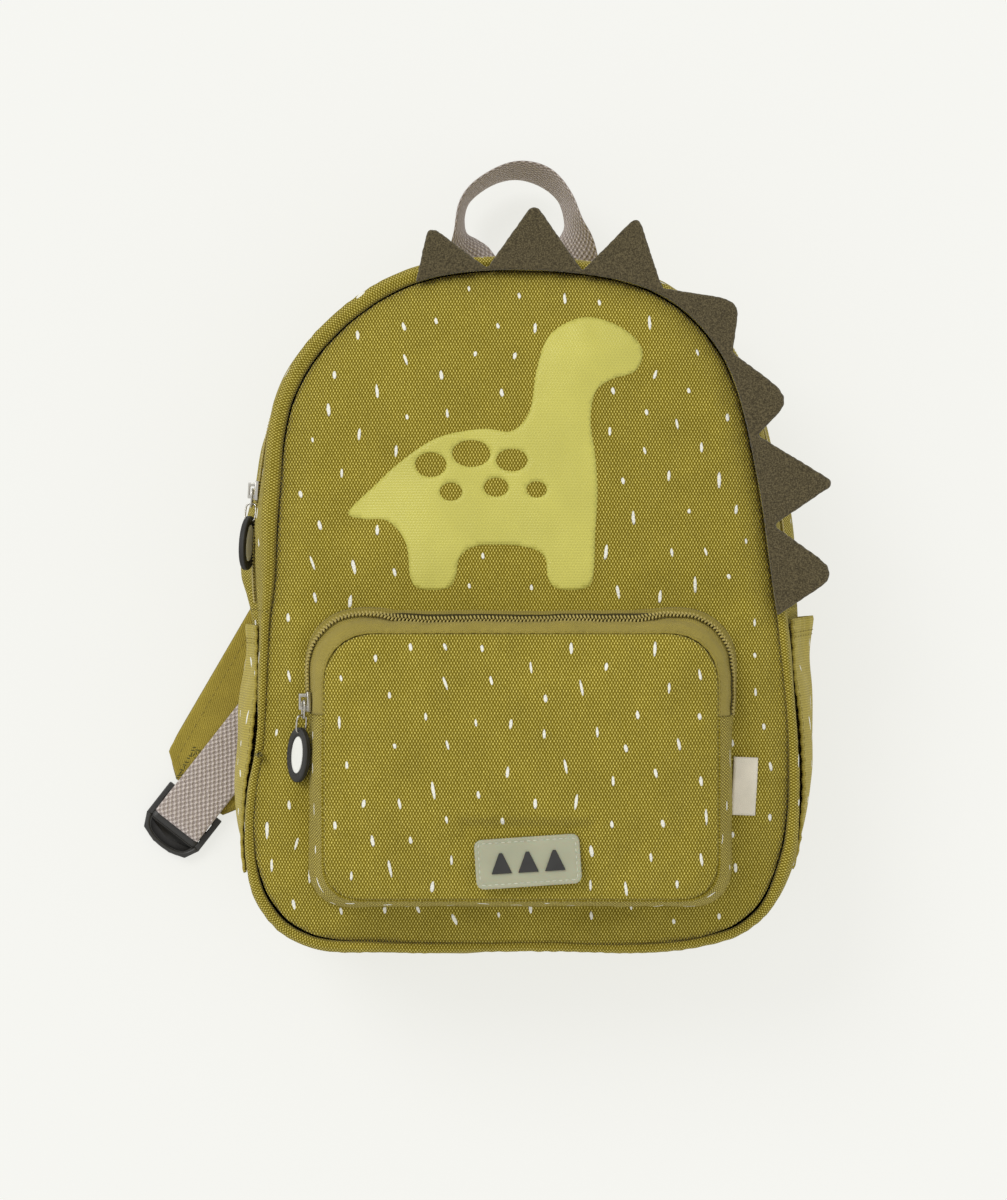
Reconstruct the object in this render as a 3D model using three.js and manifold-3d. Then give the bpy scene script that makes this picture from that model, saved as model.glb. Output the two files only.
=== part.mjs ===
// A kids' animal backpack of olive canvas, lying on its back as set down on a table.
// It has a domed front panel with a zipped front pocket, a strip of felt spikes in the front
// seam, a zipped side wall with two open side pockets, a padded back panel, a carrying handle
// and two shoulder straps with webbing and ladder-lock adjusters.
//
// Millimetres. X runs across the bag, Y up the bag towards its handle, Z out of its front.
// The straps lie on the surface at Z = 0, and the bag lies on the straps.

import * as THREE from "three";
import Module from "manifold-3d";

const wasm = await Module();
wasm.setup();

// Fabrics and the clearance between pieces
const CANVAS = 1.6;
const GAP = 0.3;
const FELT = 3;
const WEBBING_WIDTH = 25;
const WEBBING = 1.4;

// Main bag: its front seam, depth and side wall
const SEAM_HALF_WIDTH = 118;
const SEAM_HALF_HEIGHT = 150;
const MAIN_DEPTH = 82;
const ROLL = 8;
const BULGE = 20;
const FOLD_DEPTH = 0.7;
const FOLDS_ROUND = 13;
const SEAM_TUCK = 7;
const PANEL_CROWN = 14;
const PANEL_SHOULDER = 22;
const BACK_GROW = 4;
const BACK_PANEL = 6;

// The front seam as seen from the front, counter-clockwise from the middle of the bottom.
// x and y are shares of the seam's half width and half height. roll is the share of the full
// edge roll, and bulge the share of the full side bulge, at each station.
const SEAM_STATIONS = [
  { x: 0.0, y: -1.0, roll: 0.4, bulge: 0.33 },
  { x: 0.59, y: -0.997, roll: 0.4, bulge: 0.36 },
  { x: 0.86, y: -0.927, roll: 0.5, bulge: 0.44 },
  { x: 0.973, y: -0.733, roll: 0.7, bulge: 0.5 },
  { x: 1.0, y: -0.52, roll: 0.5, bulge: 0.34 },
  { x: 0.975, y: -0.167, roll: 0.3, bulge: 0.5 },
  { x: 0.932, y: 0.1, roll: 0.4, bulge: 0.95 },
  { x: 0.873, y: 0.413, roll: 0.6, bulge: 0.78 },
  { x: 0.755, y: 0.74, roll: 0.6, bulge: 0.6 },
  { x: 0.525, y: 0.927, roll: 0.6, bulge: 0.55 },
  { x: 0.127, y: 1.0, roll: 0.6, bulge: 0.55 },
  { x: -0.407, y: 0.97, roll: 0.8, bulge: 0.5 },
  { x: -0.712, y: 0.817, roll: 0.9, bulge: 0.48 },
  { x: -0.881, y: 0.62, roll: 0.85, bulge: 0.45 },
  { x: -0.932, y: 0.3, roll: 0.9, bulge: 0.98 },
  { x: -0.95, y: 0.07, roll: 0.6, bulge: 1.06 },
  { x: -0.97, y: -0.067, roll: 0.3, bulge: 0.52 },
  { x: -0.99, y: -0.4, roll: 0.25, bulge: 0.34 },
  { x: -1.03, y: -0.653, roll: 0.35, bulge: 0.4 },
  { x: -0.99, y: -0.853, roll: 0.6, bulge: 0.38 },
  { x: -0.856, y: -0.973, roll: 0.6, bulge: 0.38 },
  { x: -0.508, y: -1.0, roll: 0.5, bulge: 0.37 },
];

// Main zip round the side wall, and the height of its ends above the bag's middle
const MAIN_ZIP_WIDTH = 12;
const MAIN_ZIP_CLEARANCE = 0.4;
const MAIN_ZIP_DEPTH_SHARE = 0.36;
const MAIN_ZIP_END = -3;
const ZIP_TAPE = 1;
const COIL_WIDTH = 4.4;
const COIL_RISE = 1.2;

// How the side wall stands out over its depth: it dips at the zip and is fullest behind it
const SIDE_PROFILE = [
  { depth: 0, stand: 0 },
  { depth: 0.16, stand: 0.22 },
  { depth: MAIN_ZIP_DEPTH_SHARE, stand: 0.3 },
  { depth: 0.62, stand: 1 },
  { depth: 0.85, stand: 0.66 },
  { depth: 1, stand: 0 },
];

// Side pockets: hem and foot above the bag's middle, and how far they stand off the side wall
const SIDE_POCKET_HEM = -7;
const SIDE_POCKET_FOOT = -118;
const SIDE_POCKET_POUCH = 8;
const SIDE_POCKET_MARGIN = 0.1;
const SIDE_POCKET_STAND = [
  { along: 0, stand: 1.15 },
  { along: 0.25, stand: 0.8 },
  { along: 0.6, stand: 0.8 },
  { along: 0.85, stand: 0.25 },
  { along: 1, stand: 0 },
];

// Front pocket: its foot on the front panel, its depth, and how its sides lean in
const POCKET_WIDTH = 187;
const POCKET_HEIGHT = 130;
const POCKET_OFF_CENTRE = -2;
const POCKET_MIDDLE_UP = -68;
const POCKET_DEPTH = 25;
const POCKET_LEAN_TOP = 9;
const POCKET_LEAN_SIDE = 7.3;
const POCKET_LEAN_FOOT = 5;
const POCKET_TOP_RADIUS = 20;
const POCKET_FOOT_RADIUS = 14;
const POCKET_CROWN = 6;
const POCKET_ZIP_END = -46;
const POCKET_ZIP_LEVEL = 0.3;

// Felt spikes: tip and end are shares of the strip's length, height of the full height, and
// valley is how far the strip stands out where the spike ends
const SPIKE_STRIP_START_X = -48;
const SPIKE_STRIP_END_UP = -4;
const SPIKE_HEIGHT = 34;
const SPIKE_LIFT = ROLL * 0.2 + CANVAS / 2 + GAP;
const SPIKES = [
  { tip: 0.04, height: 0.7, end: 0.12, valley: 1.2, round: 0.2 },
  { tip: 0.194, height: 0.91, end: 0.277, valley: 1.4, round: 0.16 },
  { tip: 0.345, height: 0.9, end: 0.41, valley: 3, round: 0.16 },
  { tip: 0.507, height: 0.62, end: 0.563, valley: 4.7, round: 0.3 },
  { tip: 0.655, height: 0.69, end: 0.7, valley: 4, round: 0.4 },
  { tip: 0.799, height: 1.01, end: 0.851, valley: 4, round: 0.12 },
  { tip: 0.946, height: 0.92, end: 1.0, valley: 0.3, round: 0.34 },
];

// Shoulder straps: where they leave the back, their size, and how they lie
const STRAP_WIDTH = 45;
const STRAP_LENGTH = 253;
const STRAP_THICKNESS = 7;
const STRAP_TOP_UP = 128;
const STRAP_TIP_WIDTH = 26;
const STRAP_TIP_TAPER = 12;
const STRAP_RISE_LENGTH = 40;
const WEBBING_FOLD = 108;
const ANCHOR_TAB_LENGTH = 24;

// top is where each strap leaves the back, angle its lie from tip to top, turn how far the
// webbing swings from it, tail the webbing's free end, and anchor where the webbing is held
const STRAPS = [
  { side: "left", topX: -27, angle: 59.8, turn: -7.8, tail: 66, anchorX: -100, anchorAboveFoot: 33 },
  { side: "right", topX: 27, angle: 100, turn: 7.8, tail: 26, anchorX: 96, anchorAboveFoot: 52 },
];

// Ladder-lock adjuster
const ADJUSTER_THICKNESS = 3.6;
const ADJUSTER_SIDE_BAR = 3;
const TAB_BAR = 4;
const MIDDLE_BAR = 4.4;
const LIP_BAR = 9;
const ADJUSTER_SLOT = 4.8;
const TAB = 1.2;
const TAB_SLACK = 2;

// Carrying handle: a hoop of webbing that stands off the top of the back seam
const HANDLE_X = -3.5;
const HANDLE_HALF_SPAN = 28;
const HANDLE_REACH = 46;
const HANDLE_MIDDLE_Z = 24;
const HANDLE_CLEARANCE = 2.4;

// Zip pulls: a slider, two wire links, and a rubber oval with a pale inset
const SLIDER_LENGTH = 9;
const SLIDER_WIDTH = 7.5;
const SLIDER_PLATE = 1.8;
const BRIDGE_HEIGHT = 3.2;
const WIRE = 1;
const RING_LENGTH = 9.5;
const RING_WIDTH = 6.5;
const LINK_LENGTH = 9;
const OVAL_LENGTH = 25;
const OVAL_WIDTH = 15.5;
const OVAL_THICKNESS = 2.8;
const OVAL_RIM = 3.8;
const MAIN_PULL_TWIST = 20;
const POCKET_PULL_TWIST = -27;
const MAIN_PULL_RISE = 0.41;
const POCKET_PULL_RISE = 0.52;

// Rubber patch and woven label
const PATCH_WIDTH = 46;
const PATCH_HEIGHT = 21.5;
const PATCH_THICKNESS = 1.6;
const PATCH_CORNER = 3;
const PATCH_X = 1;
const PATCH_UP = -111;
const PATCH_TURN = 3.5;
const MARK_SIZE = 9;
const MARK_RISE = 0.9;
const LABEL_WIDTH = 9.5;
const LABEL_HEIGHT = 25.5;
const LABEL_THICKNESS = 0.6;
const LABEL_UP = -80;

// Levels that follow from the sizes above
const LOW_LAYER_Z = STRAP_THICKNESS + GAP + WEBBING / 2;
const TOP_LAYER_Z = LOW_LAYER_Z + WEBBING + GAP;
const BACK_Z = TOP_LAYER_Z + WEBBING / 2 + 0.4;
const SEAM_Z = BACK_Z + BACK_PANEL + MAIN_DEPTH;
const EDGE_OFF = (CANVAS + GAP) / 2;

const canvasMaterial = fabric(0x948539, 0.9);
const sideCanvasMaterial = fabric(0x9a8b42, 0.9);
const zipTapeMaterial = fabric(0x8f8142, 0.75);
const feltMaterial = fabric(0x51472f, 1);
const webbingMaterial = fabric(0xb4a9a2, 0.95);
const backMaterial = fabric(0x8c7e3a, 0.95);
const rubberMaterial = fabric(0x2f2d2b, 0.55);
const insetMaterial = fabric(0xf2f1ec, 0.5);
const patchMaterial = fabric(0xa6a788, 0.4);
const labelMaterial = fabric(0xe9e1cf, 0.9);
const plasticMaterial = fabric(0x2b2a28, 0.4);
const metalMaterial = new THREE.MeshStandardMaterial({
  color: 0xc9c7c2,
  roughness: 0.3,
  metalness: 1,
});

const bag = new THREE.Group();

function fabric(color, roughness) {
  return new THREE.MeshStandardMaterial({ color, roughness, metalness: 0 });
}

function add(name, geometry, material, parent = bag) {
  const mesh = new THREE.Mesh(geometry, material);
  mesh.name = name;
  parent.add(mesh);
  return mesh;
}

function mix(a, b, share) {
  return a + (b - a) * share;
}

// Value of a table's column where its key column has a given value, with soft steps.
function eased(table, key, column, value) {
  const next = table.findIndex((row) => row[key] >= value);
  if (next <= 0) return table[0][column];
  const a = table[next - 1];
  const b = table[next];
  const part = THREE.MathUtils.smoothstep(value, a[key], b[key]);
  return mix(a[column], b[column], part);
}

function direction(degrees) {
  const angle = THREE.MathUtils.degToRad(degrees);
  return new THREE.Vector2(Math.cos(angle), Math.sin(angle));
}

// Closed body from points and triangles, turned face out.
function closedBody(points, triangles) {
  let volume = 0;
  for (const [a, b, c] of triangles) {
    volume += points[a].dot(points[b].clone().cross(points[c]));
  }
  const turned = volume < 0 ? triangles.map(([a, b, c]) => [a, c, b]) : triangles;
  const geometry = new THREE.BufferGeometry().setFromPoints(points);
  geometry.setIndex(turned.flat());
  return geometry;
}

// Triangles that close a flat outline of points, given by their indices.
function capTriangles(points, ring) {
  const normal = new THREE.Vector3();
  ring.forEach((index, i) => {
    const p = points[index];
    const q = points[ring[(i + 1) % ring.length]];
    normal.x += (p.y - q.y) * (p.z + q.z);
    normal.y += (p.z - q.z) * (p.x + q.x);
    normal.z += (p.x - q.x) * (p.y + q.y);
  });
  const across = new THREE.Vector3(1, 0, 0);
  if (Math.abs(normal.x) > Math.max(Math.abs(normal.y), Math.abs(normal.z))) across.set(0, 1, 0);
  across.cross(normal).normalize();
  const along = normal.normalize().clone().cross(across);
  const flat = ring.map((i) => new THREE.Vector2(points[i].dot(across), points[i].dot(along)));
  return THREE.ShapeUtils.triangulateShape(flat, []).map((t) => t.map((i) => ring[i]));
}

// Solid through a row of outlines that have the same number of points.
function loft(sections, closed = false) {
  const size = sections[0].length;
  const points = sections.flat();
  const triangles = [];
  const last = closed ? sections.length : sections.length - 1;
  for (let i = 0; i < last; i++) {
    const here = i * size;
    const next = ((i + 1) % sections.length) * size;
    for (let j = 0; j < size; j++) {
      const k = (j + 1) % size;
      triangles.push([here + j, next + j, next + k], [here + j, next + k, here + k]);
    }
  }
  if (!closed) {
    const first = Array.from({ length: size }, (_, j) => j);
    const end = first.map((j) => j + (sections.length - 1) * size);
    triangles.push(...capTriangles(points, first));
    triangles.push(...capTriangles(points, end).map(([a, b, c]) => [a, c, b]));
  }
  return closedBody(points, triangles);
}

// Solid of rings of points between two poles, such as a thick dome.
function dome(firstPole, rings, lastPole) {
  const size = rings[0].length;
  const points = [firstPole, ...rings.flat(), lastPole];
  const triangles = [];
  const end = points.length - 1;
  for (let j = 0; j < size; j++) {
    const k = (j + 1) % size;
    triangles.push([0, 1 + j, 1 + k], [end, end - size + k, end - size + j]);
    for (let i = 0; i < rings.length - 1; i++) {
      const here = 1 + i * size;
      const next = here + size;
      triangles.push([here + j, next + j, next + k], [here + j, next + k, here + k]);
    }
  }
  return closedBody(points, triangles);
}

// A chain of [across, z] points with a thickness, as a closed outline.
function thicken(chain, thickness) {
  const sides = [1, -1].map((side) =>
    chain.map(([a, z], i) => {
      const before = chain[Math.max(i - 1, 0)];
      const after = chain[Math.min(i + 1, chain.length - 1)];
      const length = Math.hypot(after[0] - before[0], after[1] - before[1]);
      const reach = (side * thickness) / 2 / length;
      return [a - (after[1] - before[1]) * reach, z + (after[0] - before[0]) * reach];
    }),
  );
  return [...sides[0], ...sides[1].reverse()];
}

// The front seam
const seamCurve = new THREE.CatmullRomCurve3(
  SEAM_STATIONS.map((s) => new THREE.Vector3(s.x * SEAM_HALF_WIDTH, s.y * SEAM_HALF_HEIGHT, 0)),
  true,
  "centripetal",
);

// The seam at a share of its length: place, outward normal, edge roll and side bulge.
function seamAt(share) {
  const t = seamCurve.getUtoTmapping(((share % 1) + 1) % 1);
  const place = seamCurve.getPoint(t);
  const tangent = seamCurve.getTangent(t);
  const row = t * SEAM_STATIONS.length;
  const here = SEAM_STATIONS[Math.floor(row) % SEAM_STATIONS.length];
  const next = SEAM_STATIONS[(Math.floor(row) + 1) % SEAM_STATIONS.length];
  const part = row - Math.floor(row);
  return {
    x: place.x,
    y: place.y,
    nx: tangent.y,
    ny: -tangent.x,
    roll: ROLL * mix(here.roll, next.roll, part),
    bulge: BULGE * mix(here.bulge, next.bulge, part),
    fold: FOLD_DEPTH * Math.sin(2 * Math.PI * FOLDS_ROUND * share),
  };
}

const SEAM_STEPS = 60;
const SEAM_SAMPLES = SEAM_STEPS * 8;
const seamSamples = Array.from({ length: SEAM_SAMPLES }, (_, i) => seamAt(i / SEAM_SAMPLES));

// Share of the seam's length where a test of its points first turns true.
function seamShareWhere(test, from = 0) {
  for (let i = 0; i < SEAM_SAMPLES; i++) {
    const at = (from + i / SEAM_SAMPLES) % 1;
    if (test(seamSamples[Math.round(at * SEAM_SAMPLES) % SEAM_SAMPLES])) return at;
  }
  throw new Error("the seam never gets there");
}

function rightShareAt(up) {
  return seamShareWhere((p) => p.x > 0 && p.y >= up);
}

function leftShareAt(up) {
  return seamShareWhere((p) => p.x < 0 && p.y <= up, rightShareAt(0));
}

function distanceToSeam(x, y) {
  return Math.min(...seamSamples.map((p) => Math.hypot(p.x - x, p.y - y)));
}

function onSeam(frame, off, z) {
  return new THREE.Vector3(frame.x + frame.nx * off, frame.y + frame.ny * off, z);
}

// Band of cloth along the seam, from one share of its length to another. All bands and
// panels take the same stations, so neighbours stay parallel.
function seamBand(from, to, outlineAt) {
  const shares = [from];
  const first = Math.ceil(from * SEAM_STEPS + 0.2);
  for (let i = first; i < to * SEAM_STEPS - 0.2; i++) shares.push(i / SEAM_STEPS);
  shares.push(to);
  const sections = shares.map((share) => {
    const frame = seamAt(share);
    const along = (share - from) / (to - from);
    return outlineAt(frame, along).map(([off, z]) => onSeam(frame, off, z));
  });
  return loft(sections);
}

// How far the side wall stands outside the seam, at a share of its depth from the front.
function sideOff(frame, share) {
  const front = EDGE_OFF + frame.roll;
  const back = BACK_GROW + EDGE_OFF;
  const stand = frame.bulge + frame.fold - CANVAS / 2 - mix(front, back, 0.5);
  return mix(front, back, share) + stand * eased(SIDE_PROFILE, "depth", "stand", share);
}

function sideChain(frame, from, to, steps) {
  const depth = SEAM_Z - BACK_Z;
  const chain = [];
  for (let i = 0; i <= steps; i++) {
    const share = mix(from, to, i / steps);
    chain.push([sideOff(frame, share), SEAM_Z - depth * share]);
  }
  return chain;
}

// The roll of cloth that the side wall makes just outside the front seam.
function rollChain(frame) {
  const r = frame.roll;
  return [
    [EDGE_OFF, SEAM_Z - SEAM_TUCK],
    [EDGE_OFF, SEAM_Z - SEAM_TUCK / 3],
    [EDGE_OFF + r * 0.2, SEAM_Z + r * 0.1],
    [EDGE_OFF + r * 0.55, SEAM_Z + r * 0.2],
    [EDGE_OFF + r * 0.9, SEAM_Z - r * 0.15],
  ];
}

// The front panel rises from the seam to its crown.
function panelRise(distance) {
  return PANEL_CROWN * (1 - Math.exp(-distance / PANEL_SHOULDER));
}

function panelTopZ(x, y) {
  return SEAM_Z + panelRise(distanceToSeam(x, y)) + CANVAS / 2;
}

// Place of a panel point at a distance in from the seam, towards the bag's middle.
const PANEL_EVEN_INSET = 14;
const PANEL_REACH = 110;
function panelPoint(frame, inset, z, grow = 0) {
  const even = Math.min(inset, PANEL_EVEN_INSET) - grow;
  const scale = 1 - Math.max(inset - PANEL_EVEN_INSET, 0) / (PANEL_REACH - PANEL_EVEN_INSET);
  return new THREE.Vector3((frame.x - frame.nx * even) * scale, (frame.y - frame.ny * even) * scale, z);
}

function ringsRoundSeam(chain, grow = 0) {
  return chain.map(([inset, z]) =>
    Array.from({ length: SEAM_STEPS }, (_, i) =>
      panelPoint(seamAt(i / SEAM_STEPS), inset, z, grow),
    ),
  );
}

function frontPanel() {
  const insets = [72, 38, 19, 8, 3];
  const chain = insets.map((inset) => [inset, SEAM_Z + panelRise(inset)]);
  chain.push([EDGE_OFF, SEAM_Z - SEAM_TUCK / 3], [EDGE_OFF, SEAM_Z - SEAM_TUCK]);
  const crown = new THREE.Vector3(0, 0, SEAM_Z + panelRise(PANEL_REACH) + CANVAS / 2);
  const under = crown.clone().setZ(crown.z - CANVAS);
  return dome(crown, ringsRoundSeam(thicken(chain, CANVAS)), under);
}

// The padded back panel sits inside the side wall's back edge.
function backPanel() {
  const edge = BACK_GROW - GAP;
  const top = BACK_Z + BACK_PANEL;
  const chain = [
    [2.5, BACK_Z],
    [0, BACK_Z + 1.5],
    [0, top - 1.5],
    [2.5, top],
  ];
  const middle = new THREE.Vector3(0, 0, BACK_Z);
  return dome(middle, ringsRoundSeam(chain, edge), middle.clone().setZ(top));
}

const zipRightEnd = rightShareAt(MAIN_ZIP_END);
const zipLeftEnd = leftShareAt(MAIN_ZIP_END);
const sideDepth = SEAM_Z - BACK_Z;
const zipHalfShare = MAIN_ZIP_WIDTH / 2 / sideDepth;
const endGap = (GAP * 1.5) / seamCurve.getLength();

function upperFrontWall() {
  return seamBand(zipRightEnd, zipLeftEnd, (frame) => {
    const to = MAIN_ZIP_DEPTH_SHARE - zipHalfShare;
    return thicken([...rollChain(frame), ...sideChain(frame, 0.11, to, 2)], CANVAS);
  });
}

function upperBackWall() {
  return seamBand(zipRightEnd, zipLeftEnd, (frame) => {
    const from = MAIN_ZIP_DEPTH_SHARE + zipHalfShare;
    return thicken(sideChain(frame, from, 1, 5), CANVAS);
  });
}

// Zip tape with its row of coil teeth, in the slit of the side wall.
function mainZip() {
  return seamBand(zipRightEnd, zipLeftEnd, (frame) => {
    const shareAt = (width) => MAIN_ZIP_DEPTH_SHARE + width / sideDepth;
    const edge = MAIN_ZIP_WIDTH / 2 - MAIN_ZIP_CLEARANCE;
    const half = COIL_WIDTH / 2;
    const level = (width, rise) => {
      const share = shareAt(width);
      return [sideOff(frame, share) + rise, SEAM_Z - sideDepth * share];
    };
    const tape = ZIP_TAPE / 2;
    return [
      level(-edge, tape),
      level(-half, tape),
      level(-half * 0.7, tape + COIL_RISE),
      level(half * 0.7, tape + COIL_RISE),
      level(half, tape),
      level(edge, tape),
      level(edge, -tape),
      level(-edge, -tape),
    ];
  });
}

// Side wall below the zip's ends, round the bag's foot.
function lowerWall() {
  return seamBand(zipLeftEnd + endGap, zipRightEnd + 1 - endGap, (frame) =>
    thicken([...rollChain(frame), ...sideChain(frame, 0.11, 1, 7)], CANVAS),
  );
}

// Open pocket on the side wall, standing off it most at the hem.
function sidePocket(hemShare, footShare) {
  const margin = SIDE_POCKET_MARGIN;
  const wall = CANVAS + GAP * 2.4;
  const from = Math.min(hemShare, footShare);
  const to = Math.max(hemShare, footShare);
  return seamBand(from, to, (frame, part) => {
    const along = hemShare < footShare ? part : 1 - part;
    const stand = SIDE_POCKET_POUCH * eased(SIDE_POCKET_STAND, "along", "stand", along);
    const chain = [];
    const steps = 8;
    for (let i = 0; i <= steps; i++) {
      const share = mix(margin + 0.06, 1 - margin, i / steps);
      const off = sideOff(frame, share) + wall + stand * Math.sin((Math.PI * i) / steps) ** 0.7;
      chain.push([off, SEAM_Z - sideDepth * share]);
    }
    return thicken(chain, CANVAS);
  });
}

// The front pocket's outline between its foot (level 0) and its face (level 1), as a
// rounded rectangle. Its eight edges and corners take the same shares at each level.
const CORNER_STEPS = 5;
const EDGE_STEPS = 5;
function pocketOutline(level, inset = 0) {
  const left = POCKET_OFF_CENTRE - POCKET_WIDTH / 2 + POCKET_LEAN_SIDE * level + inset;
  const right = POCKET_OFF_CENTRE + POCKET_WIDTH / 2 - POCKET_LEAN_SIDE * level - inset;
  const foot = POCKET_MIDDLE_UP - POCKET_HEIGHT / 2 + POCKET_LEAN_FOOT * level + inset;
  const top = POCKET_MIDDLE_UP + POCKET_HEIGHT / 2 - POCKET_LEAN_TOP * level - inset;
  const low = Math.max(POCKET_FOOT_RADIUS - inset, 1);
  const high = Math.max(POCKET_TOP_RADIUS - inset, 1);
  const corners = [
    { x: right - low, y: foot + low, radius: low, turn: -90 },
    { x: right - high, y: top - high, radius: high, turn: 0 },
    { x: left + high, y: top - high, radius: high, turn: 90 },
    { x: left + low, y: foot + low, radius: low, turn: 180 },
  ];
  const points = [];
  corners.forEach((corner, i) => {
    for (let step = 0; step <= CORNER_STEPS; step++) {
      const out = direction(corner.turn + (90 * step) / CORNER_STEPS);
      points.push({
        x: corner.x + out.x * corner.radius,
        y: corner.y + out.y * corner.radius,
        nx: out.x,
        ny: out.y,
      });
    }
    const next = corners[(i + 1) % corners.length];
    const out = direction(corner.turn + 90);
    const start = points[points.length - 1];
    const end = { x: next.x + out.x * next.radius, y: next.y + out.y * next.radius };
    for (let step = 1; step < EDGE_STEPS; step++) {
      points.push({
        x: mix(start.x, end.x, step / EDGE_STEPS),
        y: mix(start.y, end.y, step / EDGE_STEPS),
        nx: out.x,
        ny: out.y,
      });
    }
  });
  return points;
}

const pocketFoot = pocketOutline(0);
const pocketFaceZ = SEAM_Z + panelRise(PANEL_REACH) + POCKET_DEPTH;

// A point of the pocket's side at a level between foot and face, moved out by off. The
// station may lie between two of the outline's points.
function onPocket(station, level, off) {
  const outline = pocketOutline(level);
  const at = (points, key) => {
    const here = points[Math.floor(station + points.length) % points.length];
    const next = points[Math.ceil(station + points.length) % points.length];
    return mix(here[key], next[key], station - Math.floor(station));
  };
  const footZ = panelTopZ(at(pocketFoot, "x"), at(pocketFoot, "y")) + GAP + CANVAS * 0.3;
  const x = at(outline, "x") + at(outline, "nx") * off;
  const y = at(outline, "y") + at(outline, "ny") * off;
  return new THREE.Vector3(x, y, mix(footZ, pocketFaceZ, level));
}

function pocketBand(stations, outline) {
  return loft(stations.map((i) => outline.map(([off, level]) => onPocket(i, level, off))));
}

// The pocket's stations above the zip's ends, or those below them.
function pocketStations(above) {
  const count = pocketFoot.length;
  const past = (i) => {
    const up = pocketFoot[(i + count) % count].y - POCKET_ZIP_END;
    return above ? up : -up;
  };
  const cut = (inside, outside) =>
    mix(inside, outside, (past(inside) - GAP) / (past(inside) - past(outside)));
  const start = pocketFoot.findIndex((_, i) => past(i) > GAP && past(i - 1) <= GAP);
  let end = start;
  while (past(end + 1) > GAP) end++;
  const stations = [cut(start, start - 1)];
  for (let i = start; i <= end; i++) stations.push(i);
  stations.push(cut(end, end + 1));
  return stations;
}

function pocketSide() {
  const half = CANVAS / 2;
  return pocketBand(pocketStations(false), [
    [-half, 0],
    [half, 0],
    [half + 0.8, 0.5],
    [half, 0.97],
    [-half, 0.97],
    [0.8 - half, 0.5],
  ]);
}

// Zip round the pocket's top: outer tape, coil, and the broad facing that joins the face.
function pocketZip() {
  const tape = ZIP_TAPE / 2;
  const coil = COIL_WIDTH / 2 / POCKET_DEPTH;
  return pocketBand(pocketStations(true), [
    [-tape, 0],
    [tape, 0],
    [tape, POCKET_ZIP_LEVEL - coil],
    [tape + COIL_RISE, POCKET_ZIP_LEVEL - coil * 0.7],
    [tape + COIL_RISE, POCKET_ZIP_LEVEL + coil * 0.7],
    [tape, POCKET_ZIP_LEVEL + coil],
    [tape + 0.8, 0.7],
    [tape, 0.97],
    [-tape, 0.97],
    [-tape, POCKET_ZIP_LEVEL],
  ]);
}

// The pocket's face is a crowned sheet whose edge turns down to the side.
const faceTuck = POCKET_DEPTH * 0.03 - GAP;
function pocketFaceZAt(inset) {
  return pocketFaceZ + POCKET_CROWN * (1 - Math.exp(-inset / 12));
}

function pocketFacePanel() {
  const middle = new THREE.Vector3(POCKET_OFF_CENTRE, POCKET_MIDDLE_UP, 0);
  const ring = (inset, z) => pocketOutline(1, inset).map((p) => new THREE.Vector3(p.x, p.y, z));
  const shrunk = (scale, z) =>
    ring(POCKET_FOOT_RADIUS * 0.8, z).map((p) =>
      new THREE.Vector3(mix(middle.x, p.x, scale), mix(middle.y, p.y, scale), z),
    );
  const farInset = (scale) => POCKET_FOOT_RADIUS + (1 - scale) * (POCKET_HEIGHT / 2);
  const topRings = [
    ...[0.35, 0.65, 0.85].map((s) => shrunk(s, pocketFaceZAt(farInset(s)))),
    ring(9, pocketFaceZAt(9)),
    ring(4, pocketFaceZAt(4)),
    ring(1.2, pocketFaceZAt(1.2)),
    ring(0, pocketFaceZ - faceTuck / 2),
    ring(0, pocketFaceZ - faceTuck),
  ];
  const underRings = [
    ring(CANVAS, pocketFaceZ - faceTuck),
    ring(4, pocketFaceZAt(4) - CANVAS),
    ring(9, pocketFaceZAt(9) - CANVAS),
    ...[0.85, 0.35].map((s) => shrunk(s, pocketFaceZAt(farInset(s)) - CANVAS)),
  ];
  const crown = middle.clone().setZ(pocketFaceZAt(POCKET_HEIGHT));
  const under = crown.clone().setZ(crown.z - CANVAS);
  return dome(crown, [...topRings, ...underRings], under);
}

// Felt strip caught in the front seam, cut into rounded spikes.
function spikeStrip() {
  const from = seamShareWhere((p) => p.y > 0 && p.x <= SPIKE_STRIP_START_X, rightShareAt(0));
  const to = rightShareAt(SPIKE_STRIP_END_UP);
  const place = (share, off) => {
    const p = onSeam(seamAt(mix(from, to, share)), off, 0);
    return new THREE.Vector2(p.x, p.y);
  };
  const outer = [];
  let start = place(0, GAP);
  for (const spike of SPIKES) {
    const tip = place(spike.tip, SPIKE_HEIGHT * spike.height);
    const stop = place(spike.end, spike.valley);
    const before = tip.clone().lerp(start, spike.round);
    const bend = new THREE.QuadraticBezierCurve(before, tip, tip.clone().lerp(stop, spike.round));
    outer.push(start, ...bend.getPoints(4));
    start = stop;
  }
  outer.push(start);
  const inner = [];
  const innerSteps = 30;
  for (let i = innerSteps - 1; i > 0; i--) inner.push(place(i / innerSteps, GAP));
  const shape = new THREE.Shape([...outer, ...inner]);
  const geometry = new THREE.ExtrudeGeometry(shape, { depth: FELT, bevelEnabled: false });
  return geometry.translate(0, 0, SEAM_Z + SPIKE_LIFT);
}

// Straps. Each lies in a frame of its own: u runs from the adjuster back along the
// webbing, v across it.
function ribbonSection(centre, acrossHalf, thickHalf) {
  return [
    centre.clone().add(acrossHalf).add(thickHalf),
    centre.clone().sub(acrossHalf).add(thickHalf),
    centre.clone().sub(acrossHalf).sub(thickHalf),
    centre.clone().add(acrossHalf).sub(thickHalf),
  ];
}

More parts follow.
